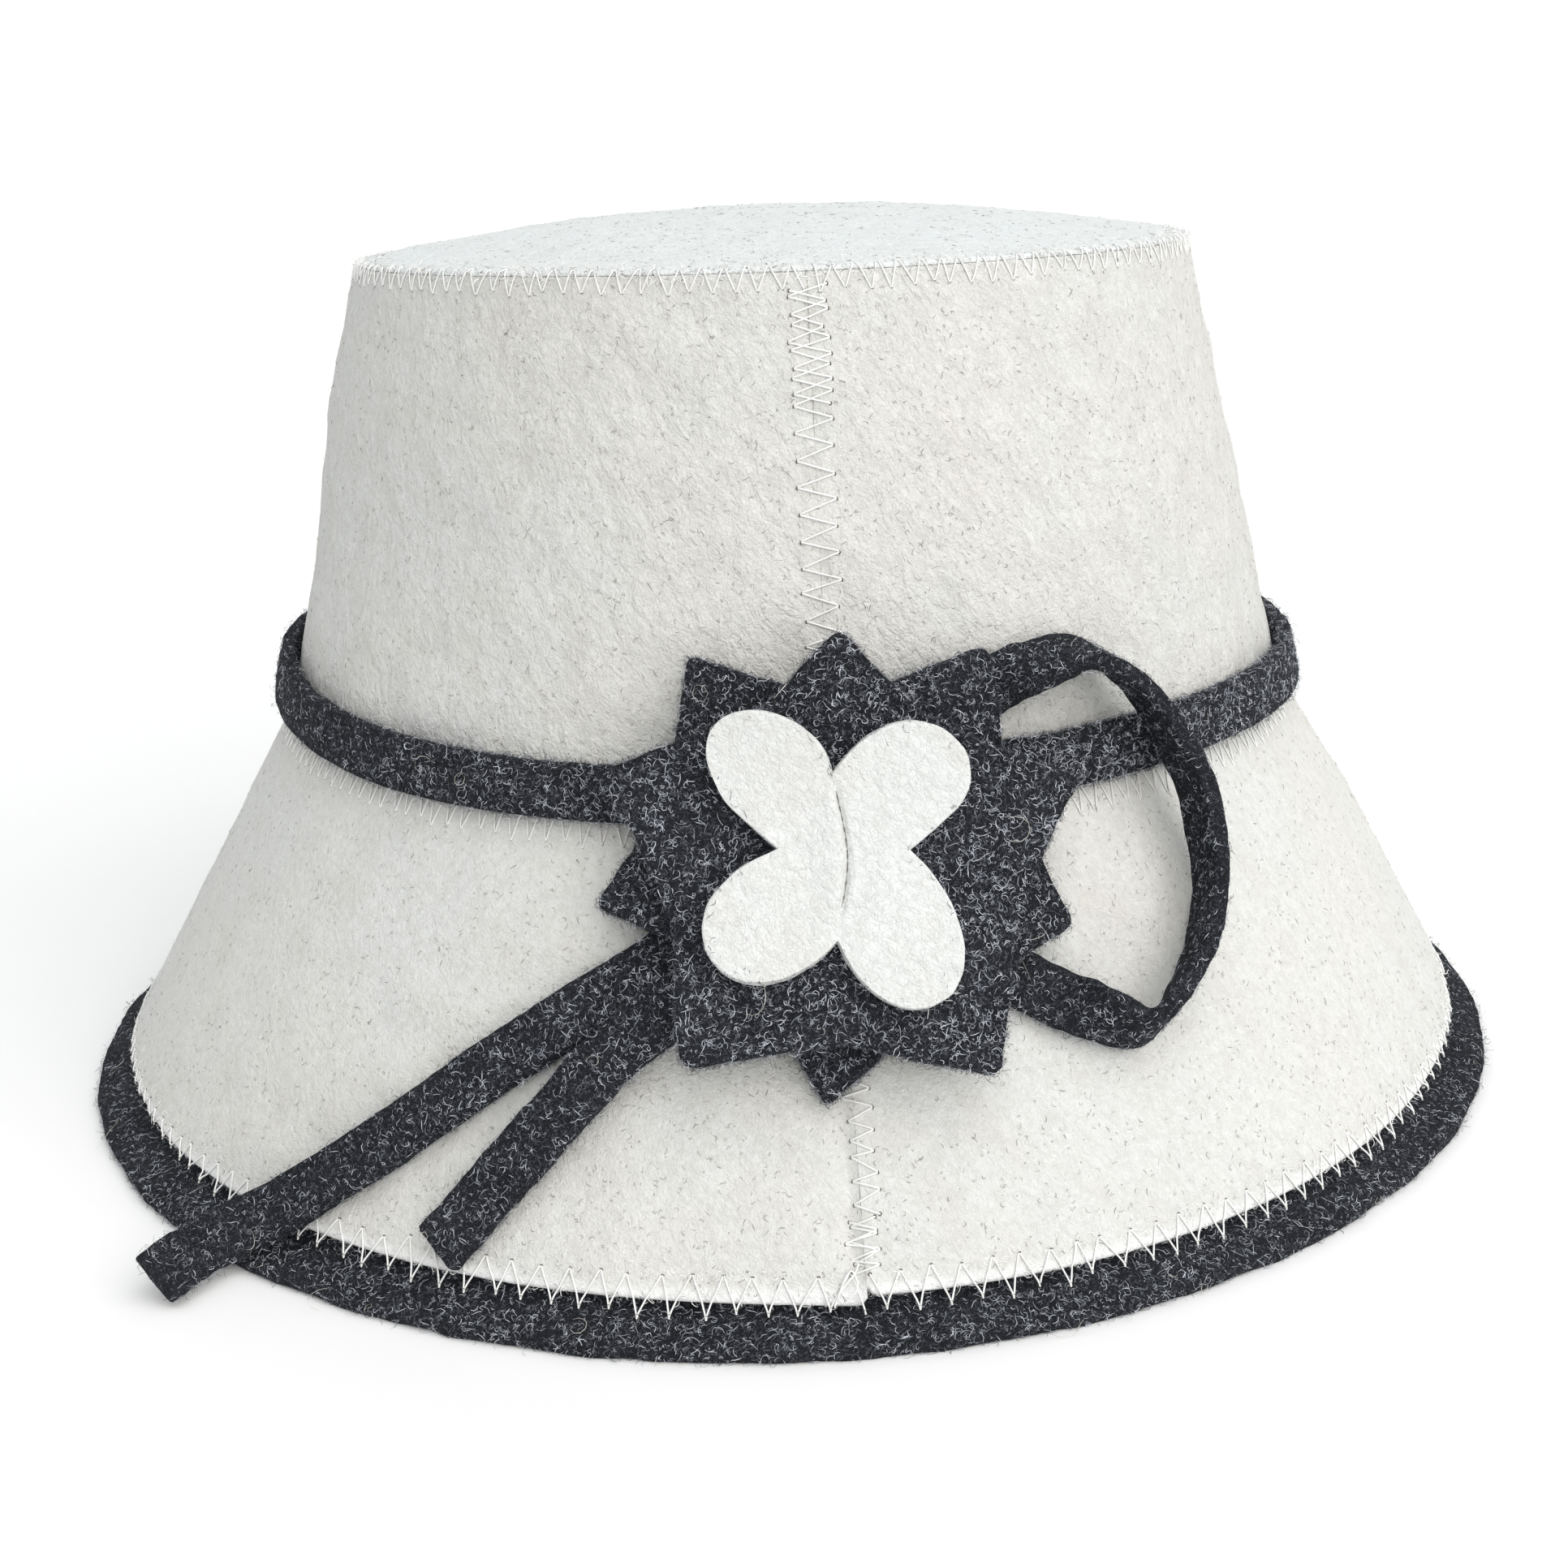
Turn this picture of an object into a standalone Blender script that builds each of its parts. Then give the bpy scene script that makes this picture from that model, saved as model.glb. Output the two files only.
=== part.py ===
"""Sauna hat of thick off-white felt with charcoal trim: edging, strap, bow, two stars and white petals.

Metres, +Z up. The hat stands on the flat underside of its edging at z = 0. Its axis is the Z axis and
its front seam faces -Y. A place on the hat is an azimuth, in degrees from the front seam towards +X,
and a slant, the distance along the outer skin from the crown's foot: up the wall where it is positive,
down the brim where it is negative. Lift is the distance out from the skin.
"""

import math

import bmesh
import bpy
from mathutils import Vector

# Felt and the gap that neighbouring pieces keep
FELT = 0.003
GAP = 0.0003
WHITE = (0.80, 0.79, 0.75, 1.0)
CHARCOAL = (0.045, 0.047, 0.053, 1.0)
PETAL_WHITE = (0.87, 0.88, 0.86, 1.0)
FELT_ROUGHNESS = 0.95

# Outer skin of the hat, as radius and height
CROWN_TOP = Vector((0.0791, 0.1589))
CROWN_FOOT = Vector((0.0993, 0.0723))
BRIM_EDGE = Vector((0.1372, 0.0070))
FOOT_BLEND = 0.006
FOOT_FADE = 0.020
EDGE_FADE = 0.012
TOP_FALL = 0.0036
DOME_RISE = 0.0072
TIP_EDGE_ROUNDING = 0.0007
SEAM_HALF_ANGLE = 0.10
SEAM_STEP = 0.0016
SEAM_STEP_REACH = 6.0

# Charcoal edging below the brim's edge, as radius and height
EDGING_OVERLAP = 0.009
EDGING_LIP = Vector((0.1447, 0.0020))
EDGING_BASE_OUTER = 0.1441
EDGING_BASE_INNER = 0.1390
EDGING_INNER_BEND = Vector((0.1330, 0.0030))
EDGING_INNER_TURN = 0.003

# Charcoal strips: strap, loop and tails are cut from the same width
STRIP_WIDTH = 0.0095
STRIP_CHAMFER = 0.0006
STRAP_CLEARANCE = 0.00042
STRAP_SIDE_SLACK = 0.0009
STRAP_SIDE_POWER = 4

# Decoration in front
STAR_SLANT = -0.0085
LOWER_STAR_BACK = 0.0042
UPPER_STAR_BACK = 0.0080
PETAL_FELT = 0.0028
PETAL_BACK = 0.0117
PETAL_VALLEY = 0.0013
PETAL_VALLEY_HALF_WIDTH = 0.0022
PETAL_MIDDLE = (0.0003, 0.0012)
TIP_ROUNDING = 0.0022
RISE_POWER = 4

# Faces
COLUMNS = 64
WALL_ROWS = 7
BRIM_ROWS = 7
STAR_RINGS = 6
PETAL_RINGS = 5
TIP_RINGS = 4
LOBE_STEPS = 12
EDGE_STEPS = 3
SHARP_ANGLE = 35.0

# Waves of the brim's edge: waves round the edge, azimuth of a crest, height of the crest
BRIM_WAVES = (
    (2, -45.0, 0.0017),
    (3, 20.0, 0.0006),
)

# Soft dents (-) and bulges (+) of the skin: azimuth, slant, reach round, reach up, depth
SOFT_DENTS = (
    (-88.0, 0.062, 24.0, 0.018, 0.0014),
    (-52.0, 0.044, 20.0, 0.022, -0.0012),
    (38.0, 0.050, 22.0, 0.020, 0.0008),
    (128.0, 0.046, 26.0, 0.022, -0.0010),
    (90.0, -0.036, 26.0, 0.022, 0.0011),
    (205.0, -0.040, 30.0, 0.024, -0.0009),
)

# Points of the stars, clockwise from the top: angle, radius, lift of the edge above the star's middle
UPPER_STAR = (
    (2.0, 0.0397, -0.0003),
    (27.0, 0.0283, 0.0),
    (74.0, 0.0389, 0.0004),
    (118.0, 0.0281, 0.0002),
    (150.0, 0.0419, 0.0012),
    (182.0, 0.0285, 0.0010),
    (218.0, 0.0408, 0.0016),
    (248.0, 0.0270, 0.0006),
    (297.0, 0.0381, 0.0010),
    (341.0, 0.0299, 0.0),
)
LOWER_STAR = (
    (35.2, 0.0430, -0.0001),
    (73.0, 0.0285, 0.0),
    (111.0, 0.0394, 0.0001),
    (149.0, 0.0270, -0.0002),
    (187.0, 0.0382, -0.0030),
    (223.0, 0.0219, 0.0),
    (260.0, 0.0386, 0.0),
    (295.0, 0.0280, 0.0),
    (329.4, 0.0422, -0.0016),
    (2.0, 0.0280, 0.0),
)

# Lobes of the petals, each a curve from one notch to the next, as across and up from the star's middle:
# notch, where the curve heads from it, where it comes from at the next notch, rise of the lobe's end
PETAL_LOBES = (
    ((0.0094, 0.0006), (0.0300, 0.0165), (0.0103, 0.0357), 0.0008),
    ((-0.0008, 0.0173), (-0.0018, 0.0326), (-0.0328, 0.0337), 0.0012),
    ((-0.0092, 0.0021), (-0.0311, -0.0090), (-0.0168, -0.0295), 0.0010),
    ((-0.0017, -0.0134), (0.0052, -0.0353), (0.0272, -0.0225), 0.0006),
)

# How much narrower the edging is than its sizes above, once round in even steps: azimuth, narrowing
EDGING_NARROWING = (
    (0.0, 0.0004),
    (30.0, 0.0010),
    (60.0, 0.0),
    (90.0, 0.0028),
    (120.0, 0.0040),
    (150.0, 0.0040),
    (180.0, 0.0040),
    (210.0, 0.0040),
    (240.0, 0.0036),
    (270.0, 0.0014),
    (300.0, -0.0006),
    (330.0, 0.0),
    (360.0, 0.0004),
)

# Middle of the strap, once round in even steps: azimuth, slant
STRAP_WAY = (
    (0.0, 0.0050),
    (45.0, 0.0054),
    (90.0, 0.0029),
    (135.0, 0.0040),
    (180.0, 0.0048),
    (225.0, 0.0058),
    (270.0, 0.0070),
    (315.0, 0.0042),
    (360.0, 0.0050),
)

# Ways of the strips: azimuth, slant, clearance under the strip, turn onto its edge in degrees
BOW_LOOP = (
    (10.3, 0.0158, 0.0003, 0.0),
    (14.6, 0.0183, 0.0003, 0.0),
    (17.0, 0.0201, 0.0003, 8.0),
    (20.0, 0.0220, 0.0006, 40.0),
    (25.4, 0.0229, 0.0008, 68.0),
    (30.2, 0.0163, 0.0028, 75.0),
    (33.0, 0.0058, 0.0049, 75.0),
    (34.7, -0.0050, 0.0038, 75.0),
    (34.6, -0.0147, 0.0022, 75.0),
    (33.3, -0.0227, 0.0014, 75.0),
    (30.2, -0.0315, 0.0012, 75.0),
    (26.3, -0.0382, 0.0012, 72.0),
    (22.8, -0.0416, 0.0012, 70.0),
    (19.8, -0.0380, 0.0008, 50.0),
    (17.0, -0.0335, 0.0003, 6.0),
    (13.5, -0.0280, 0.0003, 0.0),
    (8.6, -0.0206, 0.0003, 0.0),
)
TAIL_LONG = (
    (-12.0, -0.0180, 0.0004, 0.0),
    (-15.8, -0.0241, 0.0004, 0.0),
    (-24.7, -0.0372, 0.0006, 0.0),
    (-35.2, -0.0572, 0.0007, 0.0),
    (-41.9, -0.0716, 0.0014, 4.0),
    (-45.3, -0.0802, 0.0037, 22.0),
    (-45.4, -0.0849, 0.0088, 52.0),
    (-44.8, -0.0883, 0.0140, 74.0),
)
TAIL_SHORT = (
    (-10.4, -0.0258, 0.0037, 0.0),
    (-14.2, -0.0318, 0.0037, 0.0),
    (-18.4, -0.0400, 0.0036, 0.0),
    (-23.4, -0.0541, 0.0022, 0.0),
    (-26.6, -0.0636, 0.0010, 0.0),
    (-29.2, -0.0722, 0.0005, 0.0),
)
LOOP_STATIONS = 42
LONG_STATIONS = 20
SHORT_STATIONS = 14


def along(low, high, steps):
    """Evenly spaced values from low to high, with both ends."""
    return [low + (high - low) * step / steps for step in range(steps + 1)]


def smooth_rows(rows, stations):
    """A smooth curve through the rows of a table, read at evenly spaced stations."""
    ends = [rows[0]] + list(rows) + [rows[-1]]
    curve = []
    for station in along(0.0, len(rows) - 1.0, stations - 1):
        row = min(int(station), len(rows) - 2)
        part = station - row
        before, start, end, after = ends[row : row + 4]
        curve.append(
            tuple(
                0.5 * (2 * b + (c - a) * part + (2 * a - 5 * b + 4 * c - d) * part**2
                       + (3 * b - a - 3 * c + d) * part**3)
                for a, b, c, d in zip(before, start, end, after)
            )
        )
    return curve


# The skin of the hat

WALL_UP = (CROWN_TOP - CROWN_FOOT).normalized()
BRIM_UP = (CROWN_FOOT - BRIM_EDGE).normalized()
WALL_OUT = Vector((WALL_UP.y, -WALL_UP.x))
BRIM_OUT = Vector((BRIM_UP.y, -BRIM_UP.x))
WALL_LENGTH = (CROWN_TOP - CROWN_FOOT).length
BRIM_LENGTH = (CROWN_FOOT - BRIM_EDGE).length


def swell(azimuth, slant):
    """How far the skin stands out, towards the side, from a true cone."""
    length = BRIM_LENGTH if slant < 0.0 else WALL_LENGTH
    waves = 0.0
    if slant < 0.0:
        for count, crest, height in BRIM_WAVES:
            waves -= height * math.cos(math.radians(count * (azimuth - crest))) * slant / length
    swelling = 0.0
    for place, height, wide, tall, depth in SOFT_DENTS:
        aside = (azimuth - place + 180.0) % 360.0 - 180.0
        swelling += depth * math.exp(-((aside / wide) ** 2) - ((slant - height) / tall) ** 2)
    fade = min(1.0, abs(slant) / FOOT_FADE) * min(1.0, max(length - abs(slant), 0.0) / EDGE_FADE)
    return waves + swelling * fade


def skin(azimuth, slant, lift=0.0):
    """The point at this azimuth and slant, lifted off the outer skin."""
    wall_share = 0.5 + 0.5 * math.tanh(slant / FOOT_BLEND)
    out = (WALL_OUT * wall_share + BRIM_OUT * (1.0 - wall_share)).normalized()
    up = WALL_UP if slant > 0.0 else BRIM_UP
    place = CROWN_FOOT + up * slant + out * lift
    return turned(azimuth, place.x + swell(azimuth, slant), place.y)


def turned(azimuth, radius, height):
    """The point at this azimuth, radius and height."""
    angle = math.radians(azimuth)
    return Vector((radius * math.sin(angle), -radius * math.cos(angle), height))


def on_star(across, up, lift):
    """The point at this place in the flat star, wrapped round the front of the hat."""
    slant = STAR_SLANT + up
    radius = (CROWN_FOOT + (WALL_UP if slant > 0.0 else BRIM_UP) * slant).x
    return skin(math.degrees(across / radius), slant, lift)


# Solids

def felt_material(name, colour):
    """A plain felt material for one piece."""
    material = bpy.data.materials.new(name + "_felt")
    material.use_nodes = True
    shader = material.node_tree.nodes["Principled BSDF"]
    shader.inputs["Base Color"].default_value = colour
    shader.inputs["Roughness"].default_value = FELT_ROUGHNESS
    shader.inputs["Metallic"].default_value = 0.0
    return material


def add_piece(name, mesh_maker, colour):
    """Make the named object from a bmesh, shaded smooth but for its cut edges."""
    mesh_maker.faces.ensure_lookup_table()
    bmesh.ops.recalc_face_normals(mesh_maker, faces=mesh_maker.faces)
    mesh = bpy.data.meshes.new(name)
    mesh_maker.to_mesh(mesh)
    mesh_maker.free()
    mesh.shade_smooth()
    mesh.set_sharp_from_angle(angle=math.radians(SHARP_ANGLE))
    mesh.materials.append(felt_material(name, colour))
    piece = bpy.data.objects.new(name, mesh)
    bpy.context.scene.collection.objects.link(piece)
    return piece


def loft(name, sections, closed, colour):
    """Join sections of equal, even numbers of points by faces, and cap the two ends unless it closes."""
    maker = bmesh.new()
    rings = [[maker.verts.new(point) for point in section] for section in sections]
    points = len(sections[0])
    spans = list(zip(rings, rings[1:]))
    if closed:
        spans.append((rings[-1], rings[0]))
    for ring, following in spans:
        for point in range(points):
            after = (point + 1) % points
            maker.faces.new((ring[point], ring[after], following[after], following[point]))
    if not closed:
        for ring in (rings[0], rings[-1]):
            for point in range(points // 2 - 1):
                across = points - 1 - point
                maker.faces.new((ring[point], ring[point + 1], ring[across - 1], ring[across]))
    return add_piece(name, maker, colour)


def cut_out(name, outline, place, back, front, rings, colour, middle=(0.0, 0.0),
            edge_rounding=0.0, back_inset=0.0):
    """A felt piece cut to an outline of across, up and rise, its faces placed by the functions given."""
    maker = bmesh.new()
    hub = Vector((middle[0], middle[1], 0.0))

    def sheet(lift, inset):
        centre = maker.verts.new(place(hub.x, hub.y, lift(hub.x, hub.y, 0.0)))
        loops = []
        for ring in range(1, rings + 1):
            share = ring / rings
            loop = []
            for point in outline:
                spoke = point - hub
                reach = share - (inset / spoke.xy.length if ring == rings else 0.0)
                spot = hub + spoke * reach
                rise = spoke.z * reach**RISE_POWER
                loop.append(maker.verts.new(place(spot.x, spot.y, lift(spot.x, spot.y, rise))))
            loops.append(loop)
        for point in range(len(outline)):
            after = (point + 1) % len(outline)
            maker.faces.new((centre, loops[0][point], loops[0][after]))
            for inner, outer in zip(loops, loops[1:]):
                maker.faces.new((inner[point], inner[after], outer[after], outer[point]))
        return loops[-1]

    edges = [sheet(back, back_inset)]
    if edge_rounding:
        edges.append([
            maker.verts.new(place(point.x, point.y, front(point.x, point.y, point.z) - edge_rounding))
            for point in outline
        ])
    edges.append(sheet(front, edge_rounding))
    for lower, upper in zip(edges, edges[1:]):
        for point in range(len(outline)):
            after = (point + 1) % len(outline)
            maker.faces.new((lower[point], lower[after], upper[after], upper[point]))
    return add_piece(name, maker, colour)


def strip_section(centre, wide, thick):
    """The chamfered section of a felt strip, from its width and thickness directions."""
    half_width = STRIP_WIDTH / 2
    half_felt = FELT / 2
    corners = (
        (half_width, half_felt - STRIP_CHAMFER),
        (half_width - STRIP_CHAMFER, half_felt),
        (STRIP_CHAMFER - half_width, half_felt),
        (-half_width, half_felt - STRIP_CHAMFER),
        (-half_width, STRIP_CHAMFER - half_felt),
        (STRIP_CHAMFER - half_width, -half_felt),
        (half_width - STRIP_CHAMFER, -half_felt),
        (half_width, STRIP_CHAMFER - half_felt),
    )
    return [centre + wide * across + thick * out for across, out in corners]


def strip_centre(azimuth, slant, clearance, turn):
    """The middle of a strip whose lowest edge keeps the clearance to the skin."""
    angle = math.radians(turn)
    reach = abs(STRIP_WIDTH / 2 * math.sin(angle)) + abs(FELT / 2 * math.cos(angle))
    return skin(azimuth, slant, clearance + reach)


def strip(name, way, stations):
    """A felt strip that follows its way over the hat, turned onto its edge where the way says."""
    rows = smooth_rows(way, stations)
    centres = [strip_centre(*row) for row in rows]
    sections = []
    for index, (azimuth, slant, clearance, turn) in enumerate(rows):
        ahead = centres[min(index + 1, stations - 1)]
        behind = centres[max(index - 1, 0)]
        tangent = (ahead - behind).normalized()
        out = skin(azimuth, slant, clearance + FELT) - skin(azimuth, slant, clearance)
        side = tangent.cross(out).normalized()
        out = side.cross(tangent)
        angle = math.radians(turn)
        wide = side * math.cos(angle) + out * math.sin(angle)
        thick = out * math.cos(angle) - side * math.sin(angle)
        sections.append(strip_section(centres[index], wide, thick))
    return loft(name, sections, False, CHARCOAL)


# The hat

def wrapped_panel(name, outer_ends, inner_ends, rows):
    """A felt wall whose faces run between two slants, its two ends meeting at the front seam.

    The ends are functions of the azimuth, which give the lowest and the highest slant of a face.
    """
    sections = []
    for azimuth in along(SEAM_HALF_ANGLE, 360.0 - SEAM_HALF_ANGLE, COLUMNS):
        outer = [skin(azimuth, slant) for slant in along(*outer_ends(azimuth), rows)]
        inner = [skin(azimuth, slant, -FELT) for slant in along(*inner_ends(azimuth), rows)]
        sections.append(outer + inner[::-1])
    return loft(name, sections, False, WHITE)


def top_height(depth):
    """Height of the crown's top edge, which falls a little towards the back of the hat."""
    return CROWN_TOP.y - TOP_FALL * (0.5 + 0.5 * depth / CROWN_TOP.x)


def crown_side():
    """The crown's wall, mitred under the tip."""
    def ends(azimuth, drop):
        depth = -CROWN_TOP.x * math.cos(math.radians(azimuth))
        return GAP / 2, (top_height(depth) - drop - CROWN_FOOT.y) / WALL_UP.y

    def outer(azimuth):
        return ends(azimuth, TIP_EDGE_ROUNDING + GAP)

    def inner(azimuth):
        return ends(azimuth, FELT + GAP)

    wrapped_panel("crown_side", outer, inner, WALL_ROWS)


def seam_step(aside):
    """How far the brim's left end hangs below its right end, this far in degrees from the front seam."""
    return SEAM_STEP * math.exp(-aside / SEAM_STEP_REACH)


def brim():
    """The flared brim, its edge stepped at the front seam, where its left end hangs lower."""
    def ends(azimuth):
        return -BRIM_LENGTH - seam_step(360.0 - azimuth), -GAP / 2

    wrapped_panel("brim", ends, ends, BRIM_ROWS)


def crown_tip():
    """The crown's round top piece, slightly domed, its underside mitred to the wall."""
    radius = CROWN_TOP.x
    azimuths = along(0.0, 360.0, COLUMNS)[:-1]
    outline = [turned(azimuth, radius, 0.0) for azimuth in azimuths]

    def place(across, depth, lift):
        share = (across**2 + depth**2) / radius**2
        return Vector((across, depth, top_height(depth) + DOME_RISE * (1.0 - share) + lift))

    def top(across, depth, rise):
        return 0.0

    def underside(across, depth, rise):
        return -FELT

    cut_out(
        "crown_tip", outline, place, underside, top, TIP_RINGS, WHITE,
        edge_rounding=TIP_EDGE_ROUNDING, back_inset=FELT,
    )


def brim_edging():
    """The charcoal band under the brim's edge, flared outward and flat where it stands."""
    under = -FELT - GAP
    upper = EDGING_OVERLAP - BRIM_LENGTH
    sections = []
    for azimuth, narrowing in smooth_rows(EDGING_NARROWING, COLUMNS + 1)[:-1]:
        wave = swell(azimuth, -BRIM_LENGTH) - narrowing
        step = seam_step(min(azimuth, 360.0 - azimuth))
        sections.append([
            skin(azimuth, upper, under),
            skin(azimuth, -BRIM_LENGTH - step - GAP, under),
            turned(azimuth, EDGING_LIP.x + wave, EDGING_LIP.y),
            turned(azimuth, EDGING_BASE_OUTER + wave, 0.0),
            turned(azimuth, EDGING_BASE_INNER + wave, 0.0),
            turned(azimuth, EDGING_INNER_BEND.x + wave, EDGING_INNER_BEND.y),
            skin(azimuth, EDGING_INNER_TURN - BRIM_LENGTH, under - FELT),
            skin(azimuth, upper, under - FELT),
        ])
    loft("brim_edging", sections, True, CHARCOAL)


def strap():
    """The charcoal band round the crown's foot, a little slack at the two sides."""
    sections = []
    for azimuth, slant in smooth_rows(STRAP_WAY, COLUMNS + 1)[:-1]:
        slack = STRAP_SIDE_SLACK * math.sin(math.radians(azimuth)) ** STRAP_SIDE_POWER
        lift = STRAP_CLEARANCE + slack + FELT / 2
        centre = skin(azimuth, slant, lift)
        wide = (skin(azimuth, STRIP_WIDTH, lift) - skin(azimuth, 0.0, lift)).normalized()
        thick = (skin(azimuth, STRIP_WIDTH, lift) - skin(azimuth, STRIP_WIDTH, 0.0)).normalized()
        sections.append(strip_section(centre, wide, thick))
    loft("strap", sections, True, CHARCOAL)


# The decoration in front

def rounded_star(points):
    """The star's outline: its points rounded, its inner corners sharp, its edges divided."""
    corners = []
    for angle, radius, rise in points:
        turn = math.radians(angle)
        corners.append(Vector((radius * math.sin(turn), radius * math.cos(turn), rise)))
    stops = []
    for index, corner in enumerate(corners):
        before = corners[index - 1]
        after = corners[(index + 1) % len(corners)]
        pointed = corner.xy.length > before.xy.length and corner.xy.length > after.xy.length
        if not pointed:
            stops.append([corner])
            continue
        arrive = corner + (before - corner).normalized() * TIP_ROUNDING
        leave = corner + (after - corner).normalized() * TIP_ROUNDING
        stops.append([arrive, (arrive + corner * 2 + leave) / 4, leave])
    outline = []
    for index, stop in enumerate(stops):
        outline += stop
        start = stop[-1]
        end = stops[(index + 1) % len(stops)][0]
        outline += [start.lerp(end, step / EDGE_STEPS) for step in range(1, EDGE_STEPS)]
    return outline


def star(name, points, back_lift):
    """A felt star wrapped on the front of the hat."""
    def back(across, up, rise):
        return back_lift + rise

    def front(across, up, rise):
        return back_lift + FELT + rise

    cut_out(name, rounded_star(points), on_star, back, front, STAR_RINGS, CHARCOAL)


def petals():
    """The white four-lobed cut-out, pinched along a valley down its middle."""
    outline = []
    for index, (notch, leave, arrive, rise) in enumerate(PETAL_LOBES):
        end = PETAL_LOBES[(index + 1) % len(PETAL_LOBES)][0]
        points = (notch, leave, arrive, end)
        for step in range(LOBE_STEPS):
            part = step / LOBE_STEPS
            weights = ((1 - part) ** 3, 3 * part * (1 - part) ** 2, 3 * part**2 * (1 - part), part**3)
            across = sum(weight * point[0] for weight, point in zip(weights, points))
            up = sum(weight * point[1] for weight, point in zip(weights, points))
            outline.append(Vector((across, up, rise * math.sin(math.pi * part))))

    def back(across, up, rise):
        return PETAL_BACK + rise

    def front(across, up, rise):
        valley = PETAL_VALLEY * math.exp(-((across / PETAL_VALLEY_HALF_WIDTH) ** 2))
        return PETAL_BACK + PETAL_FELT + rise - valley

    cut_out("petals", outline, on_star, back, front, PETAL_RINGS, PETAL_WHITE, middle=PETAL_MIDDLE)


def build():
    """Clear the scene and make every piece."""
    for old in list(bpy.data.objects):
        bpy.data.objects.remove(old, do_unlink=True)
    crown_tip()
    crown_side()
    brim()
    brim_edging()
    strap()
    strip("bow_loop", BOW_LOOP, LOOP_STATIONS)
    strip("tail_long", TAIL_LONG, LONG_STATIONS)
    strip("tail_short", TAIL_SHORT, SHORT_STATIONS)
    star("star_lower", LOWER_STAR, LOWER_STAR_BACK)
    star("star_upper", UPPER_STAR, UPPER_STAR_BACK)
    petals()


build()
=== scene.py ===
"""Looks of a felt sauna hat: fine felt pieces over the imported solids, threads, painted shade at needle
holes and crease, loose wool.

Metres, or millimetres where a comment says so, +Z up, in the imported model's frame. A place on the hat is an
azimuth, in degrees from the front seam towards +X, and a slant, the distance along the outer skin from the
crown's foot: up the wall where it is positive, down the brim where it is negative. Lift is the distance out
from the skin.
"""

import math
from functools import partial

import bpy
import numpy as np
from mathutils import Matrix


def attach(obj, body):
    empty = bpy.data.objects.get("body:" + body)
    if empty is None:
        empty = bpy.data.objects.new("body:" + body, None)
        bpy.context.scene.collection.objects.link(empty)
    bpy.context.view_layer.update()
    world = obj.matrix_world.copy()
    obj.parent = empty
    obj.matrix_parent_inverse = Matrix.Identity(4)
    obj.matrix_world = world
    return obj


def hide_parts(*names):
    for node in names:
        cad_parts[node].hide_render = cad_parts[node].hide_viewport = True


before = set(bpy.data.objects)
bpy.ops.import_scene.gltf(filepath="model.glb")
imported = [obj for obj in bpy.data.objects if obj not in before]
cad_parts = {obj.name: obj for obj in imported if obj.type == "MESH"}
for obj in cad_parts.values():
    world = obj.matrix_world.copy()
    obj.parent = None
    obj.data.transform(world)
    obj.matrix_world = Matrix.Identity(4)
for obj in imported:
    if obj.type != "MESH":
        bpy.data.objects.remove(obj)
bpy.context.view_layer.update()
MM = 0.001

# Sizes of the hat, as in its solids: radius and height of the outer skin
FELT = 0.003
CROWN_TOP = np.array((0.0791, 0.1589))
CROWN_FOOT = np.array((0.0993, 0.0723))
BRIM_EDGE = np.array((0.1372, 0.0070))
FOOT_BLEND = 0.006
FOOT_FADE = 0.020
EDGE_FADE = 0.012
TOP_FALL = 0.0036
DOME_RISE = 0.0072
TIP_EDGE_ROUNDING = 0.0007
SEAM_STEP = 0.0016
SEAM_STEP_REACH = 6.0
SEAM_HALF_ANGLE = 0.006
SEAM_CORNER = 0.0018
JOINT_GAP = 0.00004
RIM_REACH = 0.005
FOLD_LEVEL = 0.0015

# How the front seam's stitches pull the felt in: depth, reach and the way left of the seam
CROWN_PINCH = (0.00020, 0.0016, 0.0)
BRIM_PINCH = (0.00110, 0.0010, 0.0013)
PINCH_FADE = 0.006

# Edging, as radius and height
EDGING_GAP = 0.0003
EDGING_OVERLAP = 0.009
EDGING_LIP = np.array((0.1447, 0.0020))
EDGING_BASE_OUTER = 0.1441
EDGING_BASE_INNER = 0.1390
EDGING_INNER_BEND = np.array((0.1330, 0.0030))
EDGING_INNER_TURN = 0.003

# Strips and decoration
STRIP_WIDTH = 0.0095
STRIP_END_SHARE = 0.90
STRAP_CLEARANCE = 0.00042
STRAP_SIDE_SLACK = 0.0009
STAR_SLANT = -0.0085
STAR_BRIDGE = 0.003
LOWER_STAR_BACK = 0.0042
UPPER_STAR_BACK = 0.0080
PETAL_FELT = 0.0028
PETAL_BACK = 0.0117
TIP_ROUNDING = 0.0022

# Waves of the brim's edge: waves round the edge, azimuth of a crest, height of the crest in millimetres
BRIM_WAVES = (
    (2, -45, 1.7),
    (3, 20, 0.6),
)

# Soft dents (-) and bulges (+) of the skin: azimuth, slant in millimetres, reach round in degrees, reach up
# and depth in millimetres
SOFT_DENTS = (
    (-88, 62, 24, 18, 1.4),
    (-52, 44, 20, 22, -1.2),
    (38, 50, 22, 20, 0.8),
    (128, 46, 26, 22, -1.0),
    (90, -36, 26, 22, 1.1),
    (205, -40, 30, 24, -0.9),
)

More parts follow.
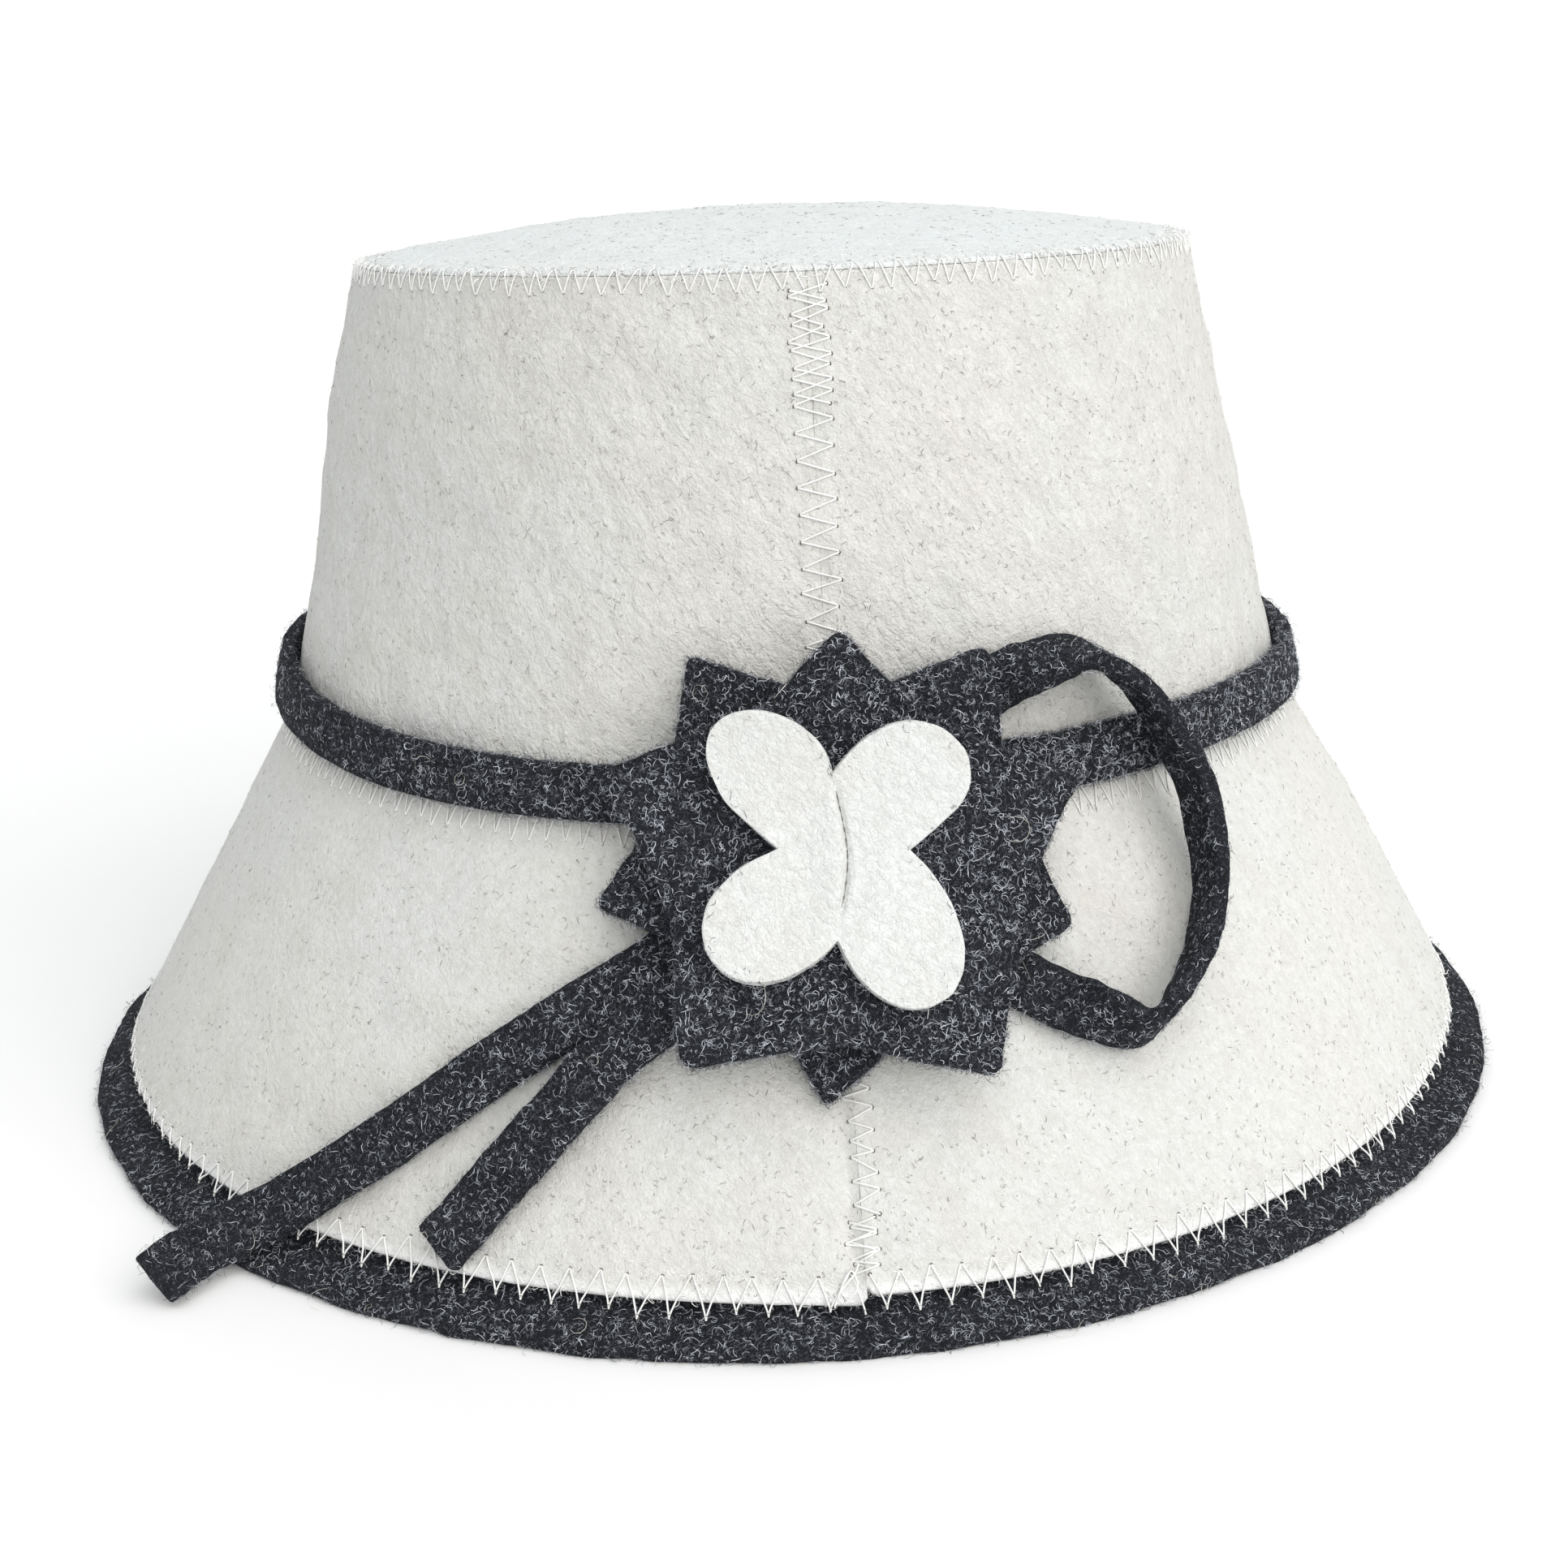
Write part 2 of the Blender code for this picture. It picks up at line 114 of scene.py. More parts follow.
# Points of the stars, clockwise from the top: angle, radius and lift of the edge in millimetres
UPPER_STAR = (
    (2, 39.7, -0.3),
    (27, 28.3, 0),
    (74, 38.9, 0.4),
    (118, 28.1, 0.2),
    (150, 41.9, 1.2),
    (182, 28.5, 1.0),
    (218, 40.8, 1.6),
    (248, 27.0, 0.6),
    (297, 38.1, 1.0),
    (341, 29.9, 0),
)
LOWER_STAR = (
    (35.2, 43.0, -0.1),
    (73, 28.5, 0),
    (111, 39.4, 0.1),
    (149, 27.0, -0.2),
    (187, 38.2, -3.0),
    (223, 21.9, 0),
    (260, 38.6, 0),
    (295, 28.0, 0),
    (329.4, 42.2, -1.6),
    (2, 28.0, 0),
)

# Lobes of the petals, in millimetres across and up from the star's middle:
# notch, where the curve heads from it, where it comes from at the next notch, rise of the lobe's end
PETAL_LOBES = (
    ((9.4, 0.6), (30.0, 16.5), (10.3, 35.7), 0.8),
    ((-0.8, 17.3), (-1.8, 32.6), (-32.8, 33.7), 1.2),
    ((-9.2, 2.1), (-31.1, -9.0), (-16.8, -29.5), 1.0),
    ((-1.7, -13.4), (5.2, -35.3), (27.2, -22.5), 0.6),
)
PETAL_HUB = (0.0003, 0.0012)

# Crease down the petals' middle: up and across, in millimetres
PETAL_CREASE = MM * np.array((
    (-10.8, -1.1),
    (-8.0, -0.8),
    (-5.2, -0.1),
    (0.3, 0.6),
    (7.9, 0.2),
    (17.3, -0.8),
))
CREASE_DEPTH = 0.0006
CREASE_HALF_WIDTH = 0.00040
# Width of the painted shadow line in the crease, and its lift off the groove's floor
CREASE_SHADOW_WIDTH = 0.00016
CREASE_SHADOW_LIFT = 0.00012
CREASE_BULGE = 0.0006
CREASE_BULGE_PEAK = 0.0018
CREASE_BULGE_REACH = 0.0050
CREASE_FADE = 0.004

# Once round in even steps, in millimetres: how much narrower the edging is than its sizes above, and the
# slant of the strap's middle
EDGING_NARROWING = (0.4, 1.0, 0.0, 2.8, 4.0, 4.0, 4.0, 4.0, 3.6, 1.4, -0.6, 0.0, 0.4)
STRAP_WAY = (5.0, 5.4, 2.9, 4.0, 4.8, 5.8, 7.0, 4.2, 5.0)

# Ways of the strips: azimuth, slant and clearance under the strip in millimetres, and the turn onto its edge
# in degrees
BOW_LOOP = (
    (10.3, 15.8, 0.3, 0),
    (14.6, 18.3, 0.3, 0),
    (17.0, 20.1, 0.3, 8),
    (20.0, 22.0, 0.6, 40),
    (25.4, 22.9, 0.8, 68),
    (30.2, 16.3, 2.8, 75),
    (33.0, 5.8, 4.9, 75),
    (34.7, -5.0, 3.8, 75),
    (34.6, -14.7, 2.2, 75),
    (33.3, -22.7, 1.4, 75),
    (30.2, -31.5, 1.2, 75),
    (26.3, -38.2, 1.2, 72),
    (22.8, -41.6, 1.2, 70),
    (19.8, -38.0, 0.8, 50),
    (17.0, -33.5, 0.3, 6),
    (13.5, -28.0, 0.3, 0),
    (8.6, -20.6, 0.3, 0),
)
TAIL_LONG = (
    (-12.0, -18.0, 0.4, 0),
    (-15.8, -24.1, 0.4, 0),
    (-24.7, -37.2, 0.6, 0),
    (-35.2, -57.2, 0.7, 0),
    (-41.9, -71.6, 1.4, 4),
    (-45.3, -80.2, 3.7, 22),
    (-45.4, -84.9, 8.8, 52),
    (-44.8, -88.3, 14.0, 74),
)
TAIL_SHORT = (
    (-10.4, -25.8, 3.7, 0),
    (-14.2, -31.8, 3.7, 0),
    (-18.4, -40.0, 3.6, 0),
    (-23.4, -54.1, 2.2, 0),
    (-26.6, -63.6, 1.0, 0),
    (-29.2, -72.2, 0.5, 0),
)

# Faces of the fine pieces
COLUMNS = 420
TIP_COLUMNS = 300
WALL_ROWS = 46
BRIM_ROWS = 40
INNER_ROWS = 14
LOOP_STATIONS = 260
LONG_STATIONS = 150
SHORT_STATIONS = 100
STAR_RINGS = 22
PETAL_RINGS = 34
LOBE_STEPS = 96
TIP_RINGS = 24
ROUND_STEPS = 4
SEAM_CROWDING = 0.6
EDGING_STEP = 0.0011
STRIP_STEP = 0.0013

# The felt's coarse and fine waves: their lengths, their heights on the white felt with their seed, and their
# heights on the strips
COARSE_WAVE = 0.016
FINE_WAVE = 0.0045
WHITE_FELTING = (0.00015, 0.00005, 10)
STRIP_WAVES = (0.00008, 0.00007)

# Camera, measured in the photograph: place, heading from +Y towards +X, tilt down, roll and lens
CAMERA_PLACE = (-0.0300, -0.4290, 0.1872)
CAMERA_HEADING = 0.0673
CAMERA_TILT = 0.3164
CAMERA_ROLL = -0.0339
CAMERA_LENS = 49.35
SENSOR_WIDTH = 36.0

# Soft suns: name, strength, width of the disc in degrees, colour, azimuth and height in degrees
SUNS = (
    ("key", 2.35, 80.0, (1.0, 0.975, 0.945), 32.0, 43.0),
    ("sky", 0.38, 60.0, (0.84, 0.94, 1.0), 0.0, 90.0),
)
WORLD_COLOUR = (0.965, 0.985, 0.99)
WORLD_LIGHT = 0.45
BACKDROP_LIGHT = 1.0


# Numbers along a way

def smooth_rows(rows, stations):
    """A smooth curve through the rows of a table, read at evenly spaced stations, one row for each."""
    table = np.vstack((rows[:1], rows, rows[-1:])).astype(float)
    station = np.linspace(0.0, len(rows) - 1.0, stations)
    row = np.minimum(station.astype(int), len(rows) - 2)
    part = (station - row)[:, None]
    a, b, c, d = (table[row + step] for step in range(4))
    return 0.5 * (2 * b + (c - a) * part + (2 * a - 5 * b + 4 * c - d) * part**2
                  + (3 * b - a - 3 * c + d) * part**3)


def smooth_round(values, stations):
    """Azimuths and metres of a smooth curve once round, from values in millimetres at even steps."""
    rows = np.column_stack((np.linspace(0.0, 360.0, len(values)), MM * np.array(values)))
    return smooth_rows(rows, stations).T


def unit(vectors):
    """The vectors at length one."""
    length = np.linalg.norm(vectors, axis=-1, keepdims=True)
    return vectors / np.maximum(length, 1e-12)


def same_shape(*values):
    """The numbers and arrays as arrays of one shape."""
    return np.broadcast_arrays(*(np.asarray(value, float) for value in values))


def beside(azimuth, place=0.0):
    """Degrees from the place to the azimuth, -180 to 180."""
    return (azimuth - place + 180.0) % 360.0 - 180.0


def eased(value, reach):
    """0 well below zero and 1 well above it, smooth over the reach."""
    return (0.5 + 0.5 * np.tanh(value / reach))[..., None]


def ripple(points, wavelength, seed, waves=16):
    """Smooth uneven height, about -1 to 1, that belongs to the place in space."""
    chance = np.random.default_rng(seed)
    ways = unit(chance.normal(size=(waves, 3))) * (2 * math.pi / wavelength)
    ways *= chance.uniform(0.6, 1.5, size=(waves, 1))
    starts = chance.uniform(0.0, 2 * math.pi, size=waves)
    return np.sin(points @ ways.T + starts).sum(axis=-1) / math.sqrt(waves / 2)


# The skin of the hat

WALL_LENGTH = float(np.linalg.norm(CROWN_TOP - CROWN_FOOT))
BRIM_LENGTH = float(np.linalg.norm(CROWN_FOOT - BRIM_EDGE))
WALL_UP = (CROWN_TOP - CROWN_FOOT) / WALL_LENGTH
BRIM_UP = (CROWN_FOOT - BRIM_EDGE) / BRIM_LENGTH
WALL_OUT = np.array((WALL_UP[1], -WALL_UP[0]))
BRIM_OUT = np.array((BRIM_UP[1], -BRIM_UP[0]))


def swell(azimuth, slant):
    """How far the skin stands out, towards the side, from a true cone."""
    azimuth, slant = same_shape(azimuth, slant)
    length = np.where(slant < 0.0, BRIM_LENGTH, WALL_LENGTH)
    waves = sum(height * np.cos(np.radians(count * (azimuth - crest)))
                for count, crest, height in BRIM_WAVES)
    dents = sum(depth * np.exp(-((beside(azimuth, place) / wide) ** 2) - ((slant / MM - up) / tall) ** 2)
                for place, up, wide, tall, depth in SOFT_DENTS)
    fade = np.minimum(1.0, abs(slant) / FOOT_FADE)
    fade = fade * np.minimum(1.0, np.maximum(length - abs(slant), 0.0) / EDGE_FADE)
    return MM * (waves * np.maximum(-slant, 0.0) / length + dents * fade)


def turned(azimuth, radius, height):
    """The points at this azimuth, radius and height."""
    angle = np.radians(azimuth)
    return np.stack(np.broadcast_arrays(radius * np.sin(angle), -radius * np.cos(angle), height), -1)


def lifted(azimuth, slant, place, lift):
    """The points at this radius and height, swollen as the skin is, and lifted off it over its soft fold."""
    share = eased(slant, FOOT_BLEND)
    place = place + unit(WALL_OUT * share + BRIM_OUT * (1.0 - share)) * lift[..., None]
    return turned(azimuth, place[..., 0] + swell(azimuth, slant), place[..., 1])


def skin(azimuth, slant, lift=0.0):
    """The points at this azimuth and slant, lifted off the outer skin."""
    azimuth, slant, lift = same_shape(azimuth, slant, lift)
    up = np.where((slant > 0.0)[..., None], WALL_UP, BRIM_UP)
    return lifted(azimuth, slant, CROWN_FOOT + up * slant[..., None], lift)


def azimuth_at(across, slant):
    """The azimuth this far across from the front seam."""
    return np.degrees(across / (CROWN_FOOT[0] + np.where(slant > 0.0, WALL_UP[0], BRIM_UP[0]) * slant))


def on_star(across, up, lift):
    """The points at this place in the flat star, wrapped round the front of the hat, bridging its fold."""
    across, up, lift = same_shape(across, up, lift)
    slant = STAR_SLANT + up
    climb = (STAR_BRIDGE * np.logaddexp(0.0, slant / STAR_BRIDGE))[..., None]
    place = CROWN_FOOT + WALL_UP * climb + BRIM_UP * (slant[..., None] - climb)
    return lifted(azimuth_at(across, slant), slant, place, lift)


def top_height(depth):
    """Height of the crown's top edge, which falls a little towards the back of the hat."""
    return CROWN_TOP[1] - TOP_FALL * (0.5 + 0.5 * depth / CROWN_TOP[0])


def rim_slant(azimuth, drop=0.0):
    """Slant of the wall where it is this far below the crown's top edge."""
    return (top_height(-CROWN_TOP[0] * np.cos(np.radians(azimuth))) - drop - CROWN_FOOT[1]) / WALL_UP[1]


def on_dome(azimuth, share, lift=0.0):
    """The points of the crown's top at this share of its radius, lifted straight up."""
    points = turned(azimuth, CROWN_TOP[0] * share, 0.0)
    points[..., 2] = top_height(points[..., 1]) + DOME_RISE * (1.0 - share**2) + lift
    return points


def seam_step(aside):
    """How far the brim's left end hangs below its right end, this far in degrees from the front seam."""
    return SEAM_STEP * np.exp(-aside / SEAM_STEP_REACH)


# Meshes

def placed(name, data):
    """A new object of the scene with this data."""
    thing = bpy.data.objects.new(name, data)
    bpy.context.scene.collection.objects.link(thing)
    return thing


def mesh_object(name, points, faces, material, slot, nodes=(), fans=()):
    """An object of the hat from points, quads and triangles, riding on the hat and standing for the nodes."""
    points = np.asarray(points, np.float32).reshape(-1, 3)
    parts = [np.asarray(part, np.int32) for part in (faces, *fans)]
    sizes = np.concatenate([np.full(len(part), part.shape[1], np.int32) for part in parts])
    corners = np.concatenate([part.ravel() for part in parts])
    mesh = bpy.data.meshes.new(name)
    mesh.vertices.add(len(points))
    mesh.vertices.foreach_set("co", points.ravel())
    mesh.loops.add(len(corners))
    mesh.loops.foreach_set("vertex_index", corners)
    mesh.polygons.add(len(sizes))
    mesh.polygons.foreach_set("loop_start", np.cumsum(sizes, dtype=np.int32) - sizes)
    mesh.polygons.foreach_set("loop_total", sizes)
    mesh.update(calc_edges=True)
    mesh.validate()
    mesh.shade_smooth()
    mesh.materials.append(material)
    piece = placed(name, mesh)
    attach(piece, "root")
    if nodes:
        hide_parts(*nodes)
    return piece


def grid_faces(wide, deep, wide_closed, deep_closed):
    """The quads of a grid of points, wide by deep, joined round where it closes."""
    first = np.arange(wide if wide_closed else wide - 1)
    second = np.arange(deep if deep_closed else deep - 1)
    i, j = np.meshgrid(first, second, indexing="ij")
    ahead, over = (i + 1) % wide, (j + 1) % deep
    quads = np.stack((i * deep + j, ahead * deep + j, ahead * deep + over, i * deep + over), -1)
    return quads.reshape(-1, 4)


def repeated(faces, times, size):
    """The faces of one piece, repeated for as many pieces of this many points."""
    return (faces[None] + (np.arange(times) * size)[:, None, None]).reshape(-1, faces.shape[1])


def grid_normals(grid, wide_closed, deep_closed):
    """Outward directions at the points of a grid."""
    def slope(axis, closed):
        if closed:
            return np.roll(grid, -1, axis) - np.roll(grid, 1, axis)
        return np.gradient(grid, axis=axis)

    return unit(np.cross(slope(0, wide_closed), slope(1, deep_closed)))


def rounded(rows, radii):
    """The rows of points with an arc in place of each row that has a radius."""
    made = []
    for index, (row, radius) in enumerate(zip(rows, radii)):
        if not radius:
            made.append(row)
            continue
        start = row + unit(rows[index - 1] - row) * radius
        end = row + unit(rows[(index + 1) % len(rows)] - row) * radius
        for part in np.linspace(0.0, 1.0, ROUND_STEPS + 1):
            made.append(start * (1 - part) ** 2 + row * 2 * part * (1 - part) + end * part**2)
    return made


def divided(rows, longest):
    """The closed round of rows, with more rows where two are further apart than the longest step."""
    made = []
    for index, row in enumerate(rows):
        onward = rows[(index + 1) % len(rows)] - row
        parts = max(1, int(float(np.linalg.norm(onward, axis=-1).mean()) / longest))
        made += [row + onward * step / parts for step in range(parts)]
    return made


def felt_waves(points, coarse, fine, seed):
    """How far thick felt stands out at these points: coarse and fine are the heights of its waves.

    It is level at the crown's rim and at its foot, where two pieces meet.
    """
    reach = np.linalg.norm(points[..., :2], axis=-1)
    from_rim = np.hypot(reach - CROWN_TOP[0], points[..., 2] - top_height(points[..., 1]))
    from_foot = np.hypot(reach - CROWN_FOOT[0], points[..., 2] - CROWN_FOOT[1]) - FOLD_LEVEL
    level = np.clip(np.minimum(from_rim, from_foot) / RIM_REACH, 0.0, 1.0)
    return level * (coarse * ripple(points, COARSE_WAVE, seed) + fine * ripple(points, FINE_WAVE, seed + 1))


def closed_piece(name, rows, ring_closed, material, slot, felting, out=None):
    """A felt piece from its rows, each a line of points along it, which together go round its section.

    With an outward direction for each station, only the faces that look that way or back are felted.
    """
    grid = np.stack(rows, axis=1)
    normals = grid_normals(grid, ring_closed, True)
    waves = felt_waves(grid, *felting)
    if out is not None:
        waves = waves * np.clip((abs((normals * out[:, None]).sum(axis=-1)) - 0.5) / 0.4, 0.0, 1.0)
    grid = grid + normals * waves[..., None]
    wide, deep = grid.shape[:2]
    points = grid.reshape(-1, 3)
    fans = []
    ends = () if ring_closed else ((0, 1), (-1, -1))
    for column, way in ends:
        ring = len(points) + np.arange(deep)
        points = np.vstack((points, grid[column], grid[column].mean(axis=0)))
        fans.append(np.stack((*(ring, np.roll(ring, -1))[::way], np.full(deep, ring[-1] + 1)), -1))
    mesh_object(name, points, grid_faces(wide, deep, ring_closed, True), material, slot, (name,), fans)
    return grid, normals


def fan_piece(name, grid, material, slot, felting, plain_below=False):
    """A felt piece from a grid whose first and last lines are each one point, such as a cut-out.

    With plain below, its faces that look down aren't felted.
    """
    normals = grid_normals(grid, True, False)
    waves = felt_waves(grid, *felting)
    if plain_below:
        waves = waves * np.clip((normals[..., 2] + 0.8) / 0.3, 0.0, 1.0)
    grid = grid + normals * waves[..., None]
    grid[:, (0, -1)] = grid[:, (0, -1)].mean(axis=0)
    piece = mesh_object(name, grid, grid_faces(*grid.shape[:2], True, False), material, slot, (name,))
    piece.modifiers.new("one_middle", "WELD").merge_threshold = 1e-6
    return grid, normals


# Materials

def fill(socket, value):
    """Link the value to the socket where it is a socket itself, and set it there where it isn't."""
    if isinstance(value, bpy.types.NodeSocket):
        socket.id_data.links.new(value, socket)
    elif socket.type == "RGBA":
        socket.default_value = (*value, 1.0)
    else:
        socket.default_value = value


def add_node(tree, kind, **inputs):
    """A new node, its sockets filled with values or links."""
    node = tree.nodes.new(kind)
    for key, value in inputs.items():
        fill(node.inputs[key.replace("_", " ")], value)
    return node


def calculate(operation, *values):
    """The result of a Math node."""
    tree = next(value.id_data for value in values if isinstance(value, bpy.types.NodeSocket))
    node = tree.nodes.new("ShaderNodeMath")
    node.operation = operation
    for socket, value in zip(node.inputs, values):
        fill(socket, value)
    return node.outputs[0]


plus, less, times = (partial(calculate, name) for name in ("ADD", "SUBTRACT", "MULTIPLY"))


def on_vectors(tree, operation, first, second=None, scale=None):
    """The result of a Vector Math node."""
    node = tree.nodes.new("ShaderNodeVectorMath")
    node.operation = operation
    for key, value in ((0, first), (1, second), ("Scale", scale)):
        if value is not None:
            fill(node.inputs[key], value)
    return node.outputs["Value" if operation == "DOT_PRODUCT" else "Vector"]


def mixed(factor, low, high):
    """A colour between low and high."""
    node = factor.id_data.nodes.new("ShaderNodeMix")
    node.data_type = "RGBA"
    for index, value in ((0, factor), (6, low), (7, high)):
        fill(node.inputs[index], value)
    return node.outputs[2]


def noise(place, scale, detail=2.0, distortion=0.0, shift=0.0):
    """Noise at this many waves a millimetre, 0 to 1."""
    tree = place.id_data
    moved = on_vectors(tree, "ADD", place, (shift, shift * 0.7, -shift * 1.3))
    return add_node(tree, "ShaderNodeTexNoise", Vector=moved, Scale=scale, Detail=detail, Roughness=0.55,
                    Distortion=distortion).outputs[0]


def ramp(value, low, high):
    """0 below low, 1 above high, smooth between."""
    node = add_node(value.id_data, "ShaderNodeMapRange", Value=value, From_Min=low, From_Max=high)
    node.interpolation_type = "SMOOTHSTEP"
    return node.outputs[0]


def hairs(place, scale, width, shift):
    """Curly lines, 1 in a hair and 0 beside it: where a noise passes its middle value."""
    distance = calculate("ABSOLUTE", less(noise(place, scale, 1.5, 0.5, shift), 0.5))
    return less(1.0, ramp(distance, width * 0.25, width))


def felt_base(name, roughness=0.95):
    """A new felt material with its shader and its place in millimetres."""
    material = bpy.data.materials.new(name)
    material.use_nodes = True
    tree = material.node_tree
    shader = tree.nodes["Principled BSDF"]
    fill(shader.inputs["Roughness"], roughness)
    fill(shader.inputs["Specular IOR Level"], 0.15)
    place = add_node(tree, "ShaderNodeTexCoord").outputs["Object"]
    return material, shader, on_vectors(tree, "SCALE", place, scale=1.0 / MM)


def bumped(shader, height, distance, strength):
    """Give the shader relief of this height, in millimetres at most."""
    bump = add_node(shader.id_data, "ShaderNodeBump", Height=height, Distance=distance * MM,
                    Strength=strength)
    fill(shader.inputs["Normal"], bump.outputs[0])


def combed(place, way, press):
    """The place squeezed along a way, so that a noise on it runs in streaks that way."""
    tree = place.id_data
    along = on_vectors(tree, "DOT_PRODUCT", place, way)
    pressed = on_vectors(tree, "SCALE", [part * -press for part in way], scale=along)
    return on_vectors(tree, "ADD", place, pressed)


def white_felt(name, tint, cool, beige, dim, relief, fluff, edge=None):
    """Thick off-white wool felt: soft patches, combed fluff whose hollows carry painted shade, and pressed
    hairs.

    The felt is whiter below the edge's height in millimetres.
    """
    material, shader, place = felt_base(name)
    fill(shader.inputs["Sheen Weight"], 0.10)
    fill(shader.inputs["Sheen Roughness"], 0.6)
    streaked = combed(place, (0.62, -0.18, -0.76), 0.34)
    combing = combed(place, (0.55, -0.20, -0.81), 0.52)
    patches = ramp(noise(streaked, 0.11, 4.0, 0.3, 31.0), 0.48, 0.68)
    # Combed tufts, sunk in the relief and darkened towards dim: painted shade in the hollows of the fluff.
    fluff_hollows_and_shade = ramp(noise(combing, 0.30, 3.0, 0.9, 53.0), 0.36, 0.66)
    mottle = noise(streaked, 0.80, 3.0, 0.6, 11.0)
    grain = noise(place, 2.3, 2.0, 0.5, 23.0)
    uneven = plus(ramp(mottle, 0.36, 0.66), times(grain, 0.9))
    pressed = hairs(streaked, 1.05, 0.045, 5.0)
    colour = mixed(ramp(noise(place, 0.022), 0.38, 0.66), tint, cool)
    for pattern, share, shade in (
        (patches, 0.38, beige),
        (fluff_hollows_and_shade, fluff, dim),
        (uneven, 0.27, dim),
        (pressed, 0.22, (0.88, 0.88, 0.86)),
    ):
        colour = mixed(times(pattern, share), colour, shade)
    if edge:
        above = add_node(place.id_data, "ShaderNodeSeparateXYZ", Vector=place).outputs["Z"]
        white = less(1.0, ramp(less(above, times(mottle, 1.6)), edge - 0.6, edge + 1.6))
        colour = mixed(times(white, 0.8), colour, (0.93, 0.94, 0.94))
    fill(shader.inputs["Base Color"], colour)
    height = plus(plus(times(mottle, 0.8), times(grain, 0.42)), times(pressed, 0.13))
    bumped(shader, less(height, times(fluff_hollows_and_shade, fluff * 1.5)), 0.7, relief)
    return material


def grey_felt():
    """Near-black wool felt under a net of lighter curly hairs."""
    material, shader, place = felt_base("charcoal_felt")
    grain = noise(place, 2.2, 2.0, 0.4, 13.0)
    colour = mixed(ramp(noise(place, 0.10), 0.35, 0.68), (0.011, 0.012, 0.0155), (0.016, 0.0175, 0.022))
    colour = mixed(ramp(grain, 0.50, 0.80), colour, (0.028, 0.030, 0.037))
    curls = None
    for scale, width, shift in ((0.80, 0.018, 3.0), (1.25, 0.024, 29.0), (0.55, 0.012, 97.0)):
        broken = ramp(noise(place, 1.30, 1.0, 0.0, shift + 7.0), 0.30, 0.62)
        line = times(hairs(place, scale, width, shift), broken)
        curls = line if curls is None else calculate("MAXIMUM", curls, line)
    bright = ramp(noise(place, 1.5, 1.0, 0.0, 41.0), 0.34, 0.70)
    hair_colour = mixed(bright, (0.055, 0.060, 0.073), (0.25, 0.265, 0.31))
    fill(shader.inputs["Base Color"], mixed(times(curls, 0.85), colour, hair_colour))
    bumped(shader, plus(grain, times(curls, 0.7)), 0.5, 0.8)
    return material


def two_toned(name, dark, light, pattern=(0.6,), span=None, roughness=0.95, relief=None):
    """A material between two colours, after a noise with this pattern, or the part of it in the span."""
    material, shader, place = felt_base(name, roughness)
    level = noise(place, *pattern)
    fill(shader.inputs["Base Color"], mixed(ramp(level, *span) if span else level, dark, light))
    if relief:
        bumped(shader, level, *relief)
    return material


# Tint, cool tint, beige patches and dim: the darker tone of uneven felt, also the painted shade in the
# fluff's hollows.
WHITE_COLOURS = ((0.785, 0.780, 0.752), (0.770, 0.780, 0.770), (0.70, 0.675, 0.62), (0.54, 0.53, 0.50))
WHITE = white_felt("off_white_felt", *WHITE_COLOURS, 0.8, 0.24)
# The crown's top wears a lighter, bluer copy of the white felt: painted sky light on its upward face.
WHITE_PAINTED_SKYLIT_TOP = white_felt("off_white_felt_crown_top_painted_skylight", (0.865, 0.895, 0.895), (0.875, 0.915, 0.925),
                       (0.81, 0.82, 0.80), (0.64, 0.66, 0.66), 0.7, 0.14)
# The brim's felt, whiter in a band along its lower edge.
WHITE_EDGED = white_felt("off_white_felt_whiter_edge_band", *WHITE_COLOURS, 0.65, 0.05, BRIM_EDGE[1] / MM)
PETAL_WHITE = white_felt("petal_felt", (0.83, 0.845, 0.835), (0.815, 0.835, 0.83), (0.76, 0.755, 0.72),
                         (0.56, 0.56, 0.54), 0.8, 0.07)
CHARCOAL = grey_felt()
THREAD = two_toned("white_thread", (0.88, 0.88, 0.87), (0.98, 0.98, 0.97), (4.0, 1.0, 1.5), roughness=0.6,
                   relief=(0.08, 0.6))
mottled = partial(two_toned, span=(0.3, 0.7))
WHITE_WOOL = mottled("white_wool", (0.80, 0.80, 0.78), (0.95, 0.95, 0.94))
GREY_WOOL = mottled("grey_wool", (0.22, 0.235, 0.27), (0.70, 0.73, 0.80))
DUSK_WOOL = mottled("dusk_wool", (0.035, 0.038, 0.047), (0.15, 0.158, 0.185))
DARK_WOOL = mottled("dark_wool", (0.07, 0.062, 0.052), (0.42, 0.385, 0.335))
PALE_WOOL = mottled("pale_wool", (0.42, 0.39, 0.33), (0.80, 0.79, 0.76))
# Dark brown-grey at the needle holes and along the petals' crease: painted shade in these hollows.
PAINTED_SHADE = mottled("painted_shade_of_holes_and_crease", (0.10, 0.09, 0.08), (0.18, 0.165, 0.14))


# Felt pieces

def panel_azimuths():
    """Azimuths once round, closer together at the front seam."""
    even = np.linspace(0.0, 1.0, COLUMNS)
    bent = even - SEAM_CROWDING * np.sin(2 * math.pi * even) / (2 * math.pi)
    return SEAM_HALF_ANGLE + (360.0 - 2 * SEAM_HALF_ANGLE) * bent


def seam_pinch(azimuth, slant, pinch):
    """How deep the front seam's stitches pull the felt in, less near the crown's top edge."""
    depth, reach, left = pinch
    aside = np.radians(beside(azimuth)) * CROWN_FOOT[0] + left
    fade = np.clip((WALL_LENGTH - slant) / PINCH_FADE, 0.0, 1.0)
    return depth * fade * np.exp(-((aside / reach) ** 2))


